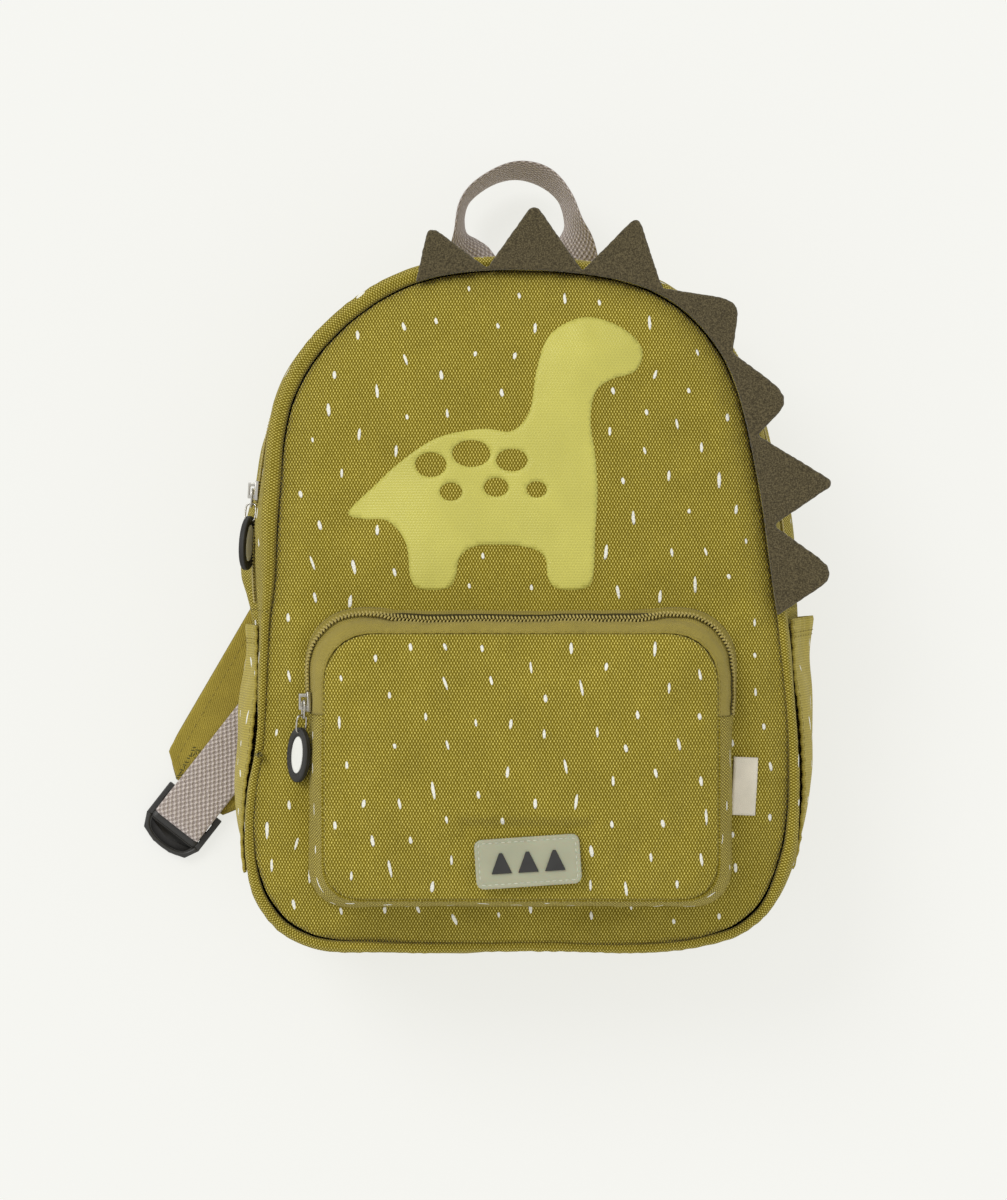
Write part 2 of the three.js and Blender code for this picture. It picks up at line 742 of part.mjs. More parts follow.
// Ribbon of even width along a path in the u-z plane of a strap's frame.
function ribbonSections(frame, path, width, thickness) {
  return path.map(([u, z], i) => {
    const before = path[Math.max(i - 1, 0)];
    const after = path[Math.min(i + 1, path.length - 1)];
    const length = Math.hypot(after[0] - before[0], after[1] - before[1]);
    const du = (-(after[1] - before[1]) / length) * (thickness / 2);
    const dz = ((after[0] - before[0]) / length) * (thickness / 2);
    const thick = new THREE.Vector3(frame.u.x * du, frame.u.y * du, dz);
    const across = new THREE.Vector3(frame.v.x, frame.v.y, 0).multiplyScalar(width / 2);
    return ribbonSection(inStrap(frame, u, 0, z), across, thick);
  });
}

function inStrap(frame, u, v, z) {
  return new THREE.Vector3(
    frame.x + frame.u.x * u + frame.v.x * v,
    frame.y + frame.u.y * u + frame.v.y * v,
    z,
  );
}

// Adjuster bars along u: the tab's bar, a slot, the middle bar, a slot, and the broad lip.
const middleBarTo = MIDDLE_BAR / 2 + 0.5;
const middleBarFrom = middleBarTo - MIDDLE_BAR;
const tabBarFrom = middleBarTo + ADJUSTER_SLOT;
const tabBarTo = tabBarFrom + TAB_BAR;
const lipTo = middleBarFrom - ADJUSTER_SLOT;
const lipFrom = lipTo - LIP_BAR;
const adjusterZ = WEBBING + GAP * 1.5;
const adjusterTop = adjusterZ + ADJUSTER_THICKNESS;
const tipAt = tabBarTo + TAB_SLACK + 2 * GAP;

function strapFrame(row) {
  const back = direction(row.angle);
  const u = direction(row.angle + row.turn);
  const tip = new THREE.Vector2(row.topX, STRAP_TOP_UP).addScaledVector(back, -STRAP_LENGTH);
  const origin = tip.clone().addScaledVector(u, -tipAt);
  const anchor = new THREE.Vector3(row.anchorX, row.anchorAboveFoot - SEAM_HALF_HEIGHT, 0);
  return { x: origin.x, y: origin.y, u, v: new THREE.Vector2(-u.y, u.x), back, tip, anchor };
}

// Padded strap: flat where it lies, narrowed to the adjuster, lifted to the back at its top.
function strap(frame) {
  const rows = [
    { at: 0, width: STRAP_TIP_WIDTH, lift: 0 },
    { at: STRAP_TIP_TAPER, width: STRAP_WIDTH, lift: 0 },
    { at: STRAP_LENGTH * 0.4, width: STRAP_WIDTH, lift: 0 },
    { at: STRAP_LENGTH * 0.6, width: STRAP_WIDTH, lift: 0 },
    { at: STRAP_LENGTH - STRAP_RISE_LENGTH, width: STRAP_WIDTH, lift: 0 },
    { at: STRAP_LENGTH - STRAP_RISE_LENGTH / 2, width: STRAP_WIDTH, lift: 0.5 },
    { at: STRAP_LENGTH, width: STRAP_WIDTH, lift: 1 },
  ];
  const height = BACK_Z - GAP - STRAP_THICKNESS;
  const side = new THREE.Vector2(-frame.back.y, frame.back.x);
  const sections = rows.map((row, i) => {
    const centre = frame.tip.clone().addScaledVector(frame.back, row.at);
    const across = i ? side : frame.v;
    const half = row.width / 2;
    const edge = Math.min(2.5, half / 2);
    const low = row.lift * height;
    const high = low + STRAP_THICKNESS;
    const outline = [
      [half - edge, low],
      [half, low + 2],
      [half, high - 2],
      [half - edge, high],
      [edge - half, high],
      [-half, high - 2],
      [-half, low + 2],
      [edge - half, low],
    ];
    return outline.map(
      ([v, z]) => new THREE.Vector3(centre.x + across.x * v, centre.y + across.y * v, z),
    );
  });
  return loft(sections);
}

// Short tab that holds the adjuster's end bar to the strap.
function strapTab(frame) {
  const over = adjusterTop + GAP + TAB / 2;
  const under = adjusterZ - GAP - TAB / 2;
  const round = tabBarFrom - GAP - TAB / 2;
  const end = tipAt - GAP;
  const path = [
    [end, over],
    [tabBarFrom, over],
    [round, over - TAB / 2 - GAP],
    [round, under + TAB / 2 + GAP],
    [tabBarFrom, under],
    [end, under],
  ];
  return loft(ribbonSections(frame, path, STRAP_TIP_WIDTH - 4, TAB));
}

function adjuster(frame) {
  const half = WEBBING_WIDTH / 2 + ADJUSTER_SIDE_BAR;
  const chamfer = half * 0.35;
  const shape = new THREE.Shape([
    new THREE.Vector2(tabBarTo, -half),
    new THREE.Vector2(tabBarTo, half),
    new THREE.Vector2(lipTo, half),
    new THREE.Vector2(lipFrom + 2.5, half - chamfer * 0.6),
    new THREE.Vector2(lipFrom, half - chamfer * 2),
    new THREE.Vector2(lipFrom, chamfer * 2 - half),
    new THREE.Vector2(lipFrom + 2.5, chamfer * 0.6 - half),
    new THREE.Vector2(lipTo, -half),
  ]);
  let body = solidOf(extruded(shape, ADJUSTER_THICKNESS, adjusterZ));
  for (const from of [lipTo, middleBarTo]) {
    const slot = new THREE.BoxGeometry(ADJUSTER_SLOT, WEBBING_WIDTH + 2 * GAP, ADJUSTER_THICKNESS * 2);
    slot.translate(from + ADJUSTER_SLOT / 2, 0, adjusterZ + ADJUSTER_THICKNESS / 2);
    body = body.subtract(solidOf(slot));
  }
  const turn = Math.atan2(frame.u.y, frame.u.x);
  return geometryOf(body).rotateZ(turn).translate(frame.x, frame.y, 0);
}

// Webbing from its free tail round the adjuster's middle bar, back over the strap to a flat
// fold, and down to the anchor at the foot of the bag.
function webbing(frame, tail) {
  const half = WEBBING / 2;
  const overTab = adjusterTop + GAP + TAB + GAP + half;
  const top = overTab + WEBBING + GAP;
  const under = adjusterZ - GAP / 2 - half - 0.05;
  const near = middleBarTo + GAP + half;
  const far = middleBarFrom - GAP - half;
  const path = [
    [tail, LOW_LAYER_Z],
    [tipAt + 6, LOW_LAYER_Z],
    [tabBarFrom + 1, overTab],
    [near + 1, overTab - 0.1],
    [near, overTab - 1.2],
    [near, under + 1.2],
    [near - 1, under],
    [far + 1, under],
    [far, under + 1.2],
    [far, top - 1.3],
    [far + 1.1, top],
    [tabBarFrom + 1, top],
    [tipAt + 6, TOP_LAYER_Z],
  ];
  const sections = ribbonSections(frame, path, WEBBING_WIDTH, WEBBING);
  const fold = inStrap(frame, WEBBING_FOLD, 0, 0);
  const out = new THREE.Vector3(frame.u.x, frame.u.y, 0);
  const down = frame.anchor.clone().sub(fold).normalize();
  const crease = out.clone().add(down).normalize();
  const sine = Math.abs(out.x * crease.y - out.y * crease.x);
  const creaseHalf = crease.clone().multiplyScalar(WEBBING_WIDTH / 2 / sine);
  const across = new THREE.Vector3(frame.v.x, frame.v.y, 0);
  if (creaseHalf.dot(across) < 0) creaseHalf.negate();
  const away = new THREE.Vector3(crease.y, -crease.x, 0);
  if (away.dot(out) < 0) away.negate();
  const up = new THREE.Vector3(0, 0, half);
  const middle = (LOW_LAYER_Z + TOP_LAYER_Z) / 2;
  const turnOut = (TOP_LAYER_Z - LOW_LAYER_Z) / 2;
  const at = (z, outBy) => fold.clone().addScaledVector(away, outBy).setZ(z);
  sections.push(ribbonSection(at(TOP_LAYER_Z, 0), creaseHalf, up));
  sections.push(ribbonSection(at(middle, turnOut), creaseHalf, away.clone().multiplyScalar(half)));
  sections.push(ribbonSection(at(LOW_LAYER_Z, 0), creaseHalf, up.clone().negate()));
  const downAcross = new THREE.Vector3(down.y, -down.x, 0).multiplyScalar(WEBBING_WIDTH / 2);
  if (downAcross.dot(creaseHalf) < 0) downAcross.negate();
  const endUp = up.clone().negate();
  const pastFold = fold.clone().addScaledVector(down, WEBBING_WIDTH).setZ(LOW_LAYER_Z);
  sections.push(ribbonSection(pastFold, downAcross, endUp));
  sections.push(ribbonSection(frame.anchor.clone().setZ(LOW_LAYER_Z), downAcross, endUp));
  return loft(sections);
}

// Canvas tab, sewn in the back seam, that holds the lower end of the webbing.
function anchorTab(frame) {
  const fold = inStrap(frame, WEBBING_FOLD, 0, 0);
  const down = frame.anchor.clone().sub(fold).normalize();
  const across = new THREE.Vector3(down.y, -down.x, 0).multiplyScalar(WEBBING_WIDTH / 2 + 2);
  const low = LOW_LAYER_Z - WEBBING / 2;
  const high = BACK_Z - GAP;
  const thick = new THREE.Vector3(0, 0, (high - low) / 2);
  const middle = (high + low) / 2;
  const start = frame.anchor.clone().addScaledVector(down, GAP).setZ(middle);
  const end = frame.anchor.clone().addScaledVector(down, ANCHOR_TAB_LENGTH).setZ(middle);
  return loft([ribbonSection(start, across, thick), ribbonSection(end, across, thick)]);
}

// Handle: the webbing leaves the back seam flat, turns on edge and makes a hoop. x, y and
// z are shares of the half span, the reach and the height; lean is in degrees from upright.
const HANDLE_ROUTE = [
  { x: -0.72, y: 0.0, z: 0.0, lean: 88 },
  { x: -0.8, y: 0.15, z: 0.3, lean: 60 },
  { x: -0.95, y: 0.4, z: 0.85, lean: 9 },
  { x: -0.86, y: 0.69, z: 1.0, lean: 6 },
  { x: -0.48, y: 0.91, z: 1.0, lean: 8 },
  { x: 0.0, y: 1.0, z: 1.0, lean: 13 },
  { x: 0.46, y: 0.93, z: 1.0, lean: 18 },
  { x: 0.81, y: 0.73, z: 1.0, lean: 13 },
  { x: 0.96, y: 0.48, z: 0.9, lean: 18 },
  { x: 0.98, y: 0.2, z: 0.4, lean: 56 },
  { x: 0.94, y: 0.0, z: 0.0, lean: 88 },
];

function seamUpAt(x) {
  return seamAt(seamShareWhere((p) => p.x <= x && p.y > 0, rightShareAt(0))).y;
}

function handle() {
  const low = BACK_Z + WEBBING;
  const places = HANDLE_ROUTE.map((r) => {
    const x = HANDLE_X + r.x * HANDLE_HALF_SPAN;
    const half = WEBBING_WIDTH / 2;
    const seamUp = Math.max(seamUpAt(x - half), seamUpAt(x), seamUpAt(x + half));
    const foot = mix(seamUp, seamUpAt(HANDLE_X), r.y) + BACK_GROW + EDGE_OFF + CANVAS / 2 + HANDLE_CLEARANCE;
    return new THREE.Vector3(x, foot + r.y * HANDLE_REACH, mix(low, HANDLE_MIDDLE_Z, r.z));
  });
  const curve = new THREE.CatmullRomCurve3(places, false, "centripetal");
  const steps = 26;
  const sections = [];
  for (let i = 0; i <= steps; i++) {
    const t = i / steps;
    const place = curve.getPoint(t);
    const tangent = curve.getTangent(t).setZ(0).normalize();
    const row = Math.min(t * (HANDLE_ROUTE.length - 1), HANDLE_ROUTE.length - 1.001);
    const here = HANDLE_ROUTE[Math.floor(row)];
    const next = HANDLE_ROUTE[Math.floor(row) + 1];
    const lean = THREE.MathUtils.degToRad(mix(here.lean, next.lean, row - Math.floor(row)));
    const side = new THREE.Vector3(-tangent.y, tangent.x, 0).multiplyScalar(Math.sin(lean));
    const across = side.setZ(Math.cos(lean));
    const thick = tangent.clone().cross(across).multiplyScalar(WEBBING / 2);
    sections.push(ribbonSection(place, across.multiplyScalar(WEBBING_WIDTH / 2), thick));
  }
  return loft(sections);
}

// A geometry as a manifold-3d solid, and back.
function solidOf(geometry) {
  const flat = geometry.index ? geometry.toNonIndexed() : geometry;
  const places = flat.getAttribute("position").array;
  const seen = new Map();
  const vertProperties = [];
  const triVerts = [];
  for (let i = 0; i < places.length; i += 3) {
    const key = [0, 1, 2].map((k) => places[i + k].toFixed(4)).join();
    if (!seen.has(key)) {
      seen.set(key, seen.size);
      vertProperties.push(places[i], places[i + 1], places[i + 2]);
    }
    triVerts.push(seen.get(key));
  }
  return new wasm.Manifold(
    new wasm.Mesh({
      numProp: 3,
      vertProperties: new Float32Array(vertProperties),
      triVerts: new Uint32Array(triVerts),
    }),
  );
}

function geometryOf(solid) {
  const mesh = solid.getMesh();
  const geometry = new THREE.BufferGeometry();
  geometry.setAttribute("position", new THREE.BufferAttribute(mesh.vertProperties, 3));
  return geometry.setIndex(new THREE.BufferAttribute(mesh.triVerts, 1));
}

function extruded(shape, depth, z) {
  const geometry = new THREE.ExtrudeGeometry(shape, { depth, bevelEnabled: false, curveSegments: 6 });
  return geometry.translate(0, 0, z);
}

function ellipse(halfLength, halfWidth) {
  const steps = 20;
  const around = Array.from({ length: steps }, (_, i) => (2 * Math.PI * i) / steps);
  return new THREE.Shape(
    around.map((a) => new THREE.Vector2(halfLength * Math.cos(a), halfWidth * Math.sin(a))),
  );
}

// Slider: a plate with a bridge that the ring hangs from. X runs along the zip.
function sliderBody() {
  const half = SLIDER_LENGTH / 2;
  const plate = extruded(
    new THREE.Shape([
      new THREE.Vector2(-half, -SLIDER_WIDTH * 0.32),
      new THREE.Vector2(half * 0.4, -SLIDER_WIDTH / 2),
      new THREE.Vector2(half, -SLIDER_WIDTH * 0.4),
      new THREE.Vector2(half, SLIDER_WIDTH * 0.4),
      new THREE.Vector2(half * 0.4, SLIDER_WIDTH / 2),
      new THREE.Vector2(-half, SLIDER_WIDTH * 0.32),
    ]),
    SLIDER_PLATE,
    0,
  );
  const bridge = new THREE.BoxGeometry(SLIDER_LENGTH * 0.8, 1.6, BRIDGE_HEIGHT + 0.5);
  bridge.translate(0, 0, SLIDER_PLATE + BRIDGE_HEIGHT / 2 - 0.25);
  const window = new THREE.BoxGeometry(SLIDER_LENGTH * 0.45, 4, BRIDGE_HEIGHT - 1);
  window.translate(0, 0, SLIDER_PLATE + (BRIDGE_HEIGHT - 1) / 2);
  return geometryOf(solidOf(plate).add(solidOf(bridge)).subtract(solidOf(window)));
}

// Wire bent to a rectangle with well-rounded corners.
function wireRing(length, width) {
  const radius = 10;
  const ring = new THREE.TorusGeometry(radius, WIRE / 2, 5, 12);
  const places = ring.getAttribute("position");
  const square = (value) => Math.sign(value) * Math.sqrt(Math.abs(value));
  for (let i = 0; i < places.count; i++) {
    const angle = Math.atan2(places.getY(i), places.getX(i));
    const out = Math.hypot(places.getX(i), places.getY(i)) - radius;
    const x = square(Math.cos(angle)) * (length / 2 - WIRE / 2);
    const y = square(Math.sin(angle)) * (width / 2 - WIRE / 2);
    places.setXY(i, x + Math.cos(angle) * out, y + Math.sin(angle) * out);
  }
  return ring;
}

// One zip pull: the slider and the ring through its bridge, each in its own place, then the
// link, oval and inset in a group whose X points from the bridge to the oval's far end.
const BRIDGE_Z = SLIDER_PLATE + (BRIDGE_HEIGHT - 1) / 2;
function zipPull(name, sliderPlace, ringPlace, ovalPlace) {
  const group = new THREE.Group();
  bag.add(group);
  add(name + "_slider", sliderBody(), metalMaterial).applyMatrix4(sliderPlace);
  const ringMiddle = RING_LENGTH / 2 - WIRE - GAP;
  const ring = wireRing(RING_LENGTH, RING_WIDTH).translate(ringMiddle, 0, 0);
  add(name + "_ring", ring, metalMaterial).applyMatrix4(ringPlace);
  const linkFrom = ringMiddle + RING_LENGTH / 2 - 2 * WIRE - 2 * GAP;
  const linkWidth = OVAL_THICKNESS + 2 * WIRE + 5 * GAP;
  const link = add(name + "_link", wireRing(LINK_LENGTH, linkWidth), metalMaterial, group);
  link.rotation.x = Math.PI / 2;
  link.position.x = linkFrom + LINK_LENGTH / 2;
  const eyeAt = linkFrom + LINK_LENGTH - WIRE / 2;
  const ovalFrom = eyeAt - OVAL_RIM * 0.6;
  const rim = solidOf(extruded(ellipse(OVAL_LENGTH / 2, OVAL_WIDTH / 2), OVAL_THICKNESS, 0));
  const insetLength = OVAL_LENGTH / 2 - OVAL_RIM;
  const insetWidth = OVAL_WIDTH / 2 - OVAL_RIM * 0.85;
  const recess = solidOf(extruded(ellipse(insetLength, insetWidth), OVAL_THICKNESS * 3, -OVAL_THICKNESS));
  const eye = new THREE.BoxGeometry(WIRE + 0.8, WIRE + 1.6, OVAL_THICKNESS * 3);
  eye.translate(eyeAt - ovalFrom - OVAL_LENGTH / 2, 0, 0);
  const ovalGeometry = geometryOf(rim.subtract(recess).subtract(solidOf(eye)));
  const oval = add(name + "_oval", ovalGeometry, rubberMaterial, group);
  oval.position.set(ovalFrom + OVAL_LENGTH / 2, 0, -OVAL_THICKNESS / 2);
  const insetShape = ellipse(insetLength - GAP, insetWidth - GAP);
  const thin = OVAL_THICKNESS * 0.8;
  const inset = add(name + "_inset", extruded(insetShape, thin, -thin / 2), insetMaterial, group);
  inset.position.x = ovalFrom + OVAL_LENGTH / 2;
  group.applyMatrix4(ovalPlace);
}

// Matrix of a place with X along one direction and Z along another.
function placing(position, along, normal) {
  const z = normal.clone().normalize();
  const x = along.clone().addScaledVector(z, -along.dot(z)).normalize();
  const matrix = new THREE.Matrix4().makeBasis(x, z.clone().cross(x), z);
  return matrix.setPosition(position);
}

// A pull on a zip: along points down the zip, normal out of its tape. The hanging parts
// rise from the tape by a share, and the oval turns by a twist in degrees on its link.
function placePull(name, position, along, normal, twist, rise) {
  const place = placing(position, along, normal);
  const bridge = position.clone().addScaledVector(normal.clone().normalize(), BRIDGE_Z);
  const down = along.clone().normalize().addScaledVector(normal.clone().normalize(), rise);
  const turned = normal.clone().applyAxisAngle(down.clone().normalize(), THREE.MathUtils.degToRad(twist));
  zipPull(name, place, placing(bridge, down, normal), placing(bridge, down, turned));
}

// The main pull hangs at the left of the side wall.
const MAIN_PULL_UP = 53;
function mainPull() {
  const frame = seamAt(leftShareAt(MAIN_PULL_UP));
  const out = sideOff(frame, MAIN_ZIP_DEPTH_SHARE) + ZIP_TAPE / 2 + COIL_RISE + 2 * GAP;
  const position = onSeam(frame, out, SEAM_Z - sideDepth * MAIN_ZIP_DEPTH_SHARE);
  const normal = new THREE.Vector3(frame.nx, frame.ny, 0);
  const along = new THREE.Vector3(-frame.ny, frame.nx, 0);
  placePull("main_zip", position, along, normal, MAIN_PULL_TWIST, MAIN_PULL_RISE);
}

// The pocket's pull hangs at the left end of its zip and leans on the pocket's side.
const POCKET_PULL_UP = -42;
function pocketPull() {
  const index = pocketStations(true).pop();
  const side = onPocket(index, POCKET_ZIP_LEVEL, ZIP_TAPE / 2 + COIL_RISE + GAP * 2);
  const slope = onPocket(index, 1, 0).sub(onPocket(index, 0, 0));
  const normal = new THREE.Vector3(-slope.z, 0, slope.x);
  const position = side.setY(POCKET_PULL_UP);
  placePull("pocket_zip", position, new THREE.Vector3(0, -1, 0), normal, POCKET_PULL_TWIST, POCKET_PULL_RISE);
}

// Rubber patch on the pocket's face with three raised marks, and the label beside the pocket.
function roundedPlate(width, height, corner, depth) {
  const shape = new THREE.Shape();
  const x = width / 2;
  const y = height / 2;
  shape.moveTo(corner - x, -y);
  shape.lineTo(x - corner, -y);
  shape.absarc(x - corner, corner - y, corner, -Math.PI / 2, 0);
  shape.lineTo(x, y - corner);
  shape.absarc(x - corner, y - corner, corner, 0, Math.PI / 2);
  shape.lineTo(corner - x, y);
  shape.absarc(corner - x, y - corner, corner, Math.PI / 2, Math.PI);
  shape.lineTo(-x, corner - y);
  shape.absarc(corner - x, corner - y, corner, Math.PI, Math.PI * 1.5);
  return extruded(shape, depth, 0);
}

function patch() {
  const group = new THREE.Group();
  bag.add(group);
  const plate = roundedPlate(PATCH_WIDTH, PATCH_HEIGHT, PATCH_CORNER, PATCH_THICKNESS);
  add("patch", plate, patchMaterial, group);
  const half = MARK_SIZE / 2;
  const mark = new THREE.Shape([
    new THREE.Vector2(-half, -half),
    new THREE.Vector2(half, -half),
    new THREE.Vector2(half * 0.15, half),
    new THREE.Vector2(-half * 0.15, half),
  ]);
  [-1, 0, 1].forEach((step, i) => {
    const raised = extruded(mark, MARK_RISE, PATCH_THICKNESS + 0.05);
    raised.translate(step * MARK_SIZE * 1.3, 0, 0);
    add("patch_mark_" + (i + 1), raised, rubberMaterial, group);
  });
  group.rotation.z = THREE.MathUtils.degToRad(PATCH_TURN);
  group.position.set(PATCH_X, PATCH_UP, pocketFaceZAt(POCKET_HEIGHT) + GAP);
}

function label() {
  const foot = POCKET_OFF_CENTRE + POCKET_WIDTH / 2;
  const x = foot + CANVAS + LABEL_WIDTH / 2;
  const corners = [
    [-1, -1],
    [1, -1],
    [1, 1],
    [-1, 1],
  ];
  const outline = corners.map(([a, b]) => [
    x + (a * LABEL_WIDTH) / 2,
    LABEL_UP + (b * LABEL_HEIGHT) / 2,
  ]);
  const at = (rise) =>
    outline.map(([px, py]) => new THREE.Vector3(px, py, panelTopZ(px, py) + GAP + rise));
  return loft([at(0), at(LABEL_THICKNESS)]);
}

add("front_panel", frontPanel(), canvasMaterial);
add("back_panel", backPanel(), backMaterial);
add("side_wall_upper_front", upperFrontWall(), canvasMaterial);
add("side_wall_upper_back", upperBackWall(), canvasMaterial);
add("side_wall_lower", lowerWall(), canvasMaterial);
add("main_zip", mainZip(), zipTapeMaterial);
add(
  "side_pocket_left",
  sidePocket(leftShareAt(SIDE_POCKET_HEM), leftShareAt(SIDE_POCKET_FOOT)),
  sideCanvasMaterial,
);
add(
  "side_pocket_right",
  sidePocket(rightShareAt(SIDE_POCKET_HEM), rightShareAt(SIDE_POCKET_FOOT)),
  sideCanvasMaterial,
);
add("pocket_side", pocketSide(), canvasMaterial);
add("pocket_zip", pocketZip(), zipTapeMaterial);
add("pocket_face", pocketFacePanel(), canvasMaterial);
add("spike_strip", spikeStrip(), feltMaterial);
add("handle", handle(), webbingMaterial);
for (const row of STRAPS) {
  const frame = strapFrame(row);
  add("strap_" + row.side, strap(frame), backMaterial);
  add("strap_tab_" + row.side, strapTab(frame), webbingMaterial);
  add("adjuster_" + row.side, adjuster(frame), plasticMaterial);
  add("webbing_" + row.side, webbing(frame, row.tail), webbingMaterial);
  add("anchor_tab_" + row.side, anchorTab(frame), canvasMaterial);
}
mainPull();
pocketPull();
patch();
add("label", label(), labelMaterial);

// The origin is under the middle of the whole backpack, on the surface that it lies on.
const whole = new THREE.Box3().setFromObject(bag);
const middle = whole.getCenter(new THREE.Vector3());
bag.position.set(-middle.x, -middle.y, -whole.min.z);

export default bag;
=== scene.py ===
import math
import random

import bmesh
import bpy
import numpy as np
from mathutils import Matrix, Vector
from mathutils.bvhtree import BVHTree
from mathutils.geometry import delaunay_2d_cdt
from mathutils.kdtree import KDTree


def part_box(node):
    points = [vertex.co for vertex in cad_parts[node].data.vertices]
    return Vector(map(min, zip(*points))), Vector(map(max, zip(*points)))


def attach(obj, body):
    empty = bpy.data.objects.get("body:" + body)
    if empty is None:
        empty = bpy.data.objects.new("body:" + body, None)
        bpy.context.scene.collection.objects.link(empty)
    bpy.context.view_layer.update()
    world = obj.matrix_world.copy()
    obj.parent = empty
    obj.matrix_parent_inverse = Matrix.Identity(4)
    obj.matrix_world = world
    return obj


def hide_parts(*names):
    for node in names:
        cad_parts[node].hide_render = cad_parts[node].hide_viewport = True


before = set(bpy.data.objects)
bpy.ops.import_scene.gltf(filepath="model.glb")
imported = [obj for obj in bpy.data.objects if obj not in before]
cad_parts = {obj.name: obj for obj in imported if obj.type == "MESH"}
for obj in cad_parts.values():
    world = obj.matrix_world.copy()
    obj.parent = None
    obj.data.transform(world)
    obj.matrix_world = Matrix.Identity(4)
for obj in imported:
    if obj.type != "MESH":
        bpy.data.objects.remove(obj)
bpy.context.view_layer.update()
MM = 0.001
DOWN = Vector((0, 0, -1))
UP = Vector((0, 0, 1))
UP_ROW = np.array([0.0, 0.0, 1.0])
TURN = 2 * math.pi


# Numbers along loops and rows
def smooth_rows(values, sigma, closed=True):
    """Gaussian blur along an array's first axis."""
    values = np.asarray(values, float)
    reach = int(math.ceil(3 * sigma))
    total, weights = np.zeros_like(values), 0.0
    for k in range(-reach, reach + 1):
        weight = math.exp(-0.5 * (k / sigma) ** 2)
        at = np.arange(len(values)) - k
        total += weight * values[at % len(values) if closed else np.clip(at, 0, len(values) - 1)]
        weights += weight
    return total / weights


def closing(rows):
    """A loop with its first row again at its end."""
    return np.vstack([rows, rows[:1]])


def lengths_along(points, closed=False):
    """Distance along a row of points, one value more than the points if it is closed."""
    steps = np.linalg.norm(np.diff(closing(points) if closed else points, axis=0), axis=1)
    return np.concatenate([[0.0], np.cumsum(steps)])


def read(marks, at, rows):
    """What rows of numbers hold at marks along them."""
    return np.column_stack([np.interp(marks, at, rows[:, i]) for i in range(rows.shape[1])])


def resample(points, step, closed=True):
    """The same row or loop with points an even step apart."""
    points = np.asarray(points, float)
    at = lengths_along(points, closed)
    count = max(4, int(round(at[-1] / step)))
    marks = np.linspace(0, at[-1], count + (0 if closed else 1), endpoint=not closed)
    return read(marks, at, closing(points) if closed else points)


def spline(points, steps=8, closed=True):
    """Catmull-Rom curve through a short list of points."""
    points = np.asarray(points, float)
    count = len(points)
    out = []
    for i in range(count if closed else count - 1):
        near = [i + k for k in (-1, 0, 1, 2)]
        a, b, c, d = (points[k % count if closed else min(max(k, 0), count - 1)] for k in near)
        for t in (k / steps for k in range(steps)):
            square, cube = 2 * a - 5 * b + 4 * c - d, 3 * b - a - 3 * c + d
            out.append(0.5 * (2 * b + (c - a) * t + square * t * t + cube * t ** 3))
    return np.array(out if closed else [*out, points[-1]])


def unit(rows):
    """Each row of an array at length one."""
    return rows / np.maximum(np.linalg.norm(rows, axis=-1, keepdims=True), 1e-12)


def sideways(loop):
    """The ways out of a closed loop, not yet at length one."""
    along = np.roll(loop, -1, axis=0) - np.roll(loop, 1, axis=0)
    return np.column_stack([along[:, 1], -along[:, 0]])


def from_foot(loop):
    """The loop, started in the middle of its foot."""
    x, y = (loop - loop.mean(0)).T
    return np.roll(loop, -int(np.argmin(np.abs(np.arctan2(y, x) + math.pi / 2))), axis=0)


def bell(values, width):
    """One at zero, and falling off over the given width."""
    return np.exp(-((values / width) ** 2))


def ease(share):
    """A share from 0 to 1 with a soft start and end."""
    share = np.clip(share, 0, 1)
    return share * share * (3 - 2 * share)


def pairs(u, v):
    """Each u with each v, one pair a row."""
    return np.column_stack([grid.ravel() for grid in np.meshgrid(u, v, indexing="ij")])


def inside(points, loop):
    """Which flat points lie inside a closed loop."""
    x, y = points[:, 0], points[:, 1]
    result = np.zeros(len(points), bool)
    for (xi, yi), (xj, yj) in zip(loop, np.roll(loop, 1, axis=0)):
        if yi != yj:
            result ^= ((yi > y) != (yj > y)) & (x < (xj - xi) * (y - yi) / (yj - yi) + xi)
    return result


def within(points, loop, holes):
    """Which flat points lie inside a loop and outside its holes."""
    keep = inside(points, loop)
    for hole in holes:
        keep &= ~inside(points, hole)
    return keep


def seam_tree(points):
    """A tree that finds the nearest of flat points."""
    tree = KDTree(len(points))
    for i, (x, y) in enumerate(points):
        tree.insert((x, y, 0), i)
    tree.balance()
    return tree


def waves(seed, count, shortest, longest):
    """A sum of random waves; lengths in metres, values roughly from -1 to 1."""
    rng = np.random.default_rng(seed)
    turns = rng.uniform(0, TURN, count)
    sizes = TURN / rng.uniform(shortest, longest, count)
    phases = rng.uniform(0, TURN, count)

    def field(u, v):
        total = np.zeros_like(u, dtype=float)
        for turn, size, phase in zip(turns, sizes, phases):
            total += np.sin((u * math.cos(turn) + v * math.sin(turn)) * size + phase)
        return total / math.sqrt(count)

    return field


# Meshes
def vertex_normals(points, faces):
    """Area-weighted normals of a mesh of triangles or quads."""
    a, b, c = points[faces[:, 0]], points[faces[:, 1]], points[faces[:, 2]]
    flat = np.cross(b - a, c - a) if faces.shape[1] == 3 else np.cross(c - a, points[faces[:, 3]] - b)
    total = np.zeros_like(points)
    for corner in faces.T:
        for axis in range(3):
            total[:, axis] += np.bincount(corner, flat[:, axis], len(points))
    return unit(total)


def sides_of(faces):
    """Start and end of each edge of each face."""
    return faces.T.ravel(), np.roll(faces, -1, axis=1).T.ravel()


def rim_of(faces, count):
    """Quads from the edges that only one face has to the same edges, count points on."""
    a, b = sides_of(faces)
    alone = ~np.isin(a * count + b, b * count + a)
    a, b = a[alone], b[alone]
    return np.column_stack([b, a, a + count, b + count])


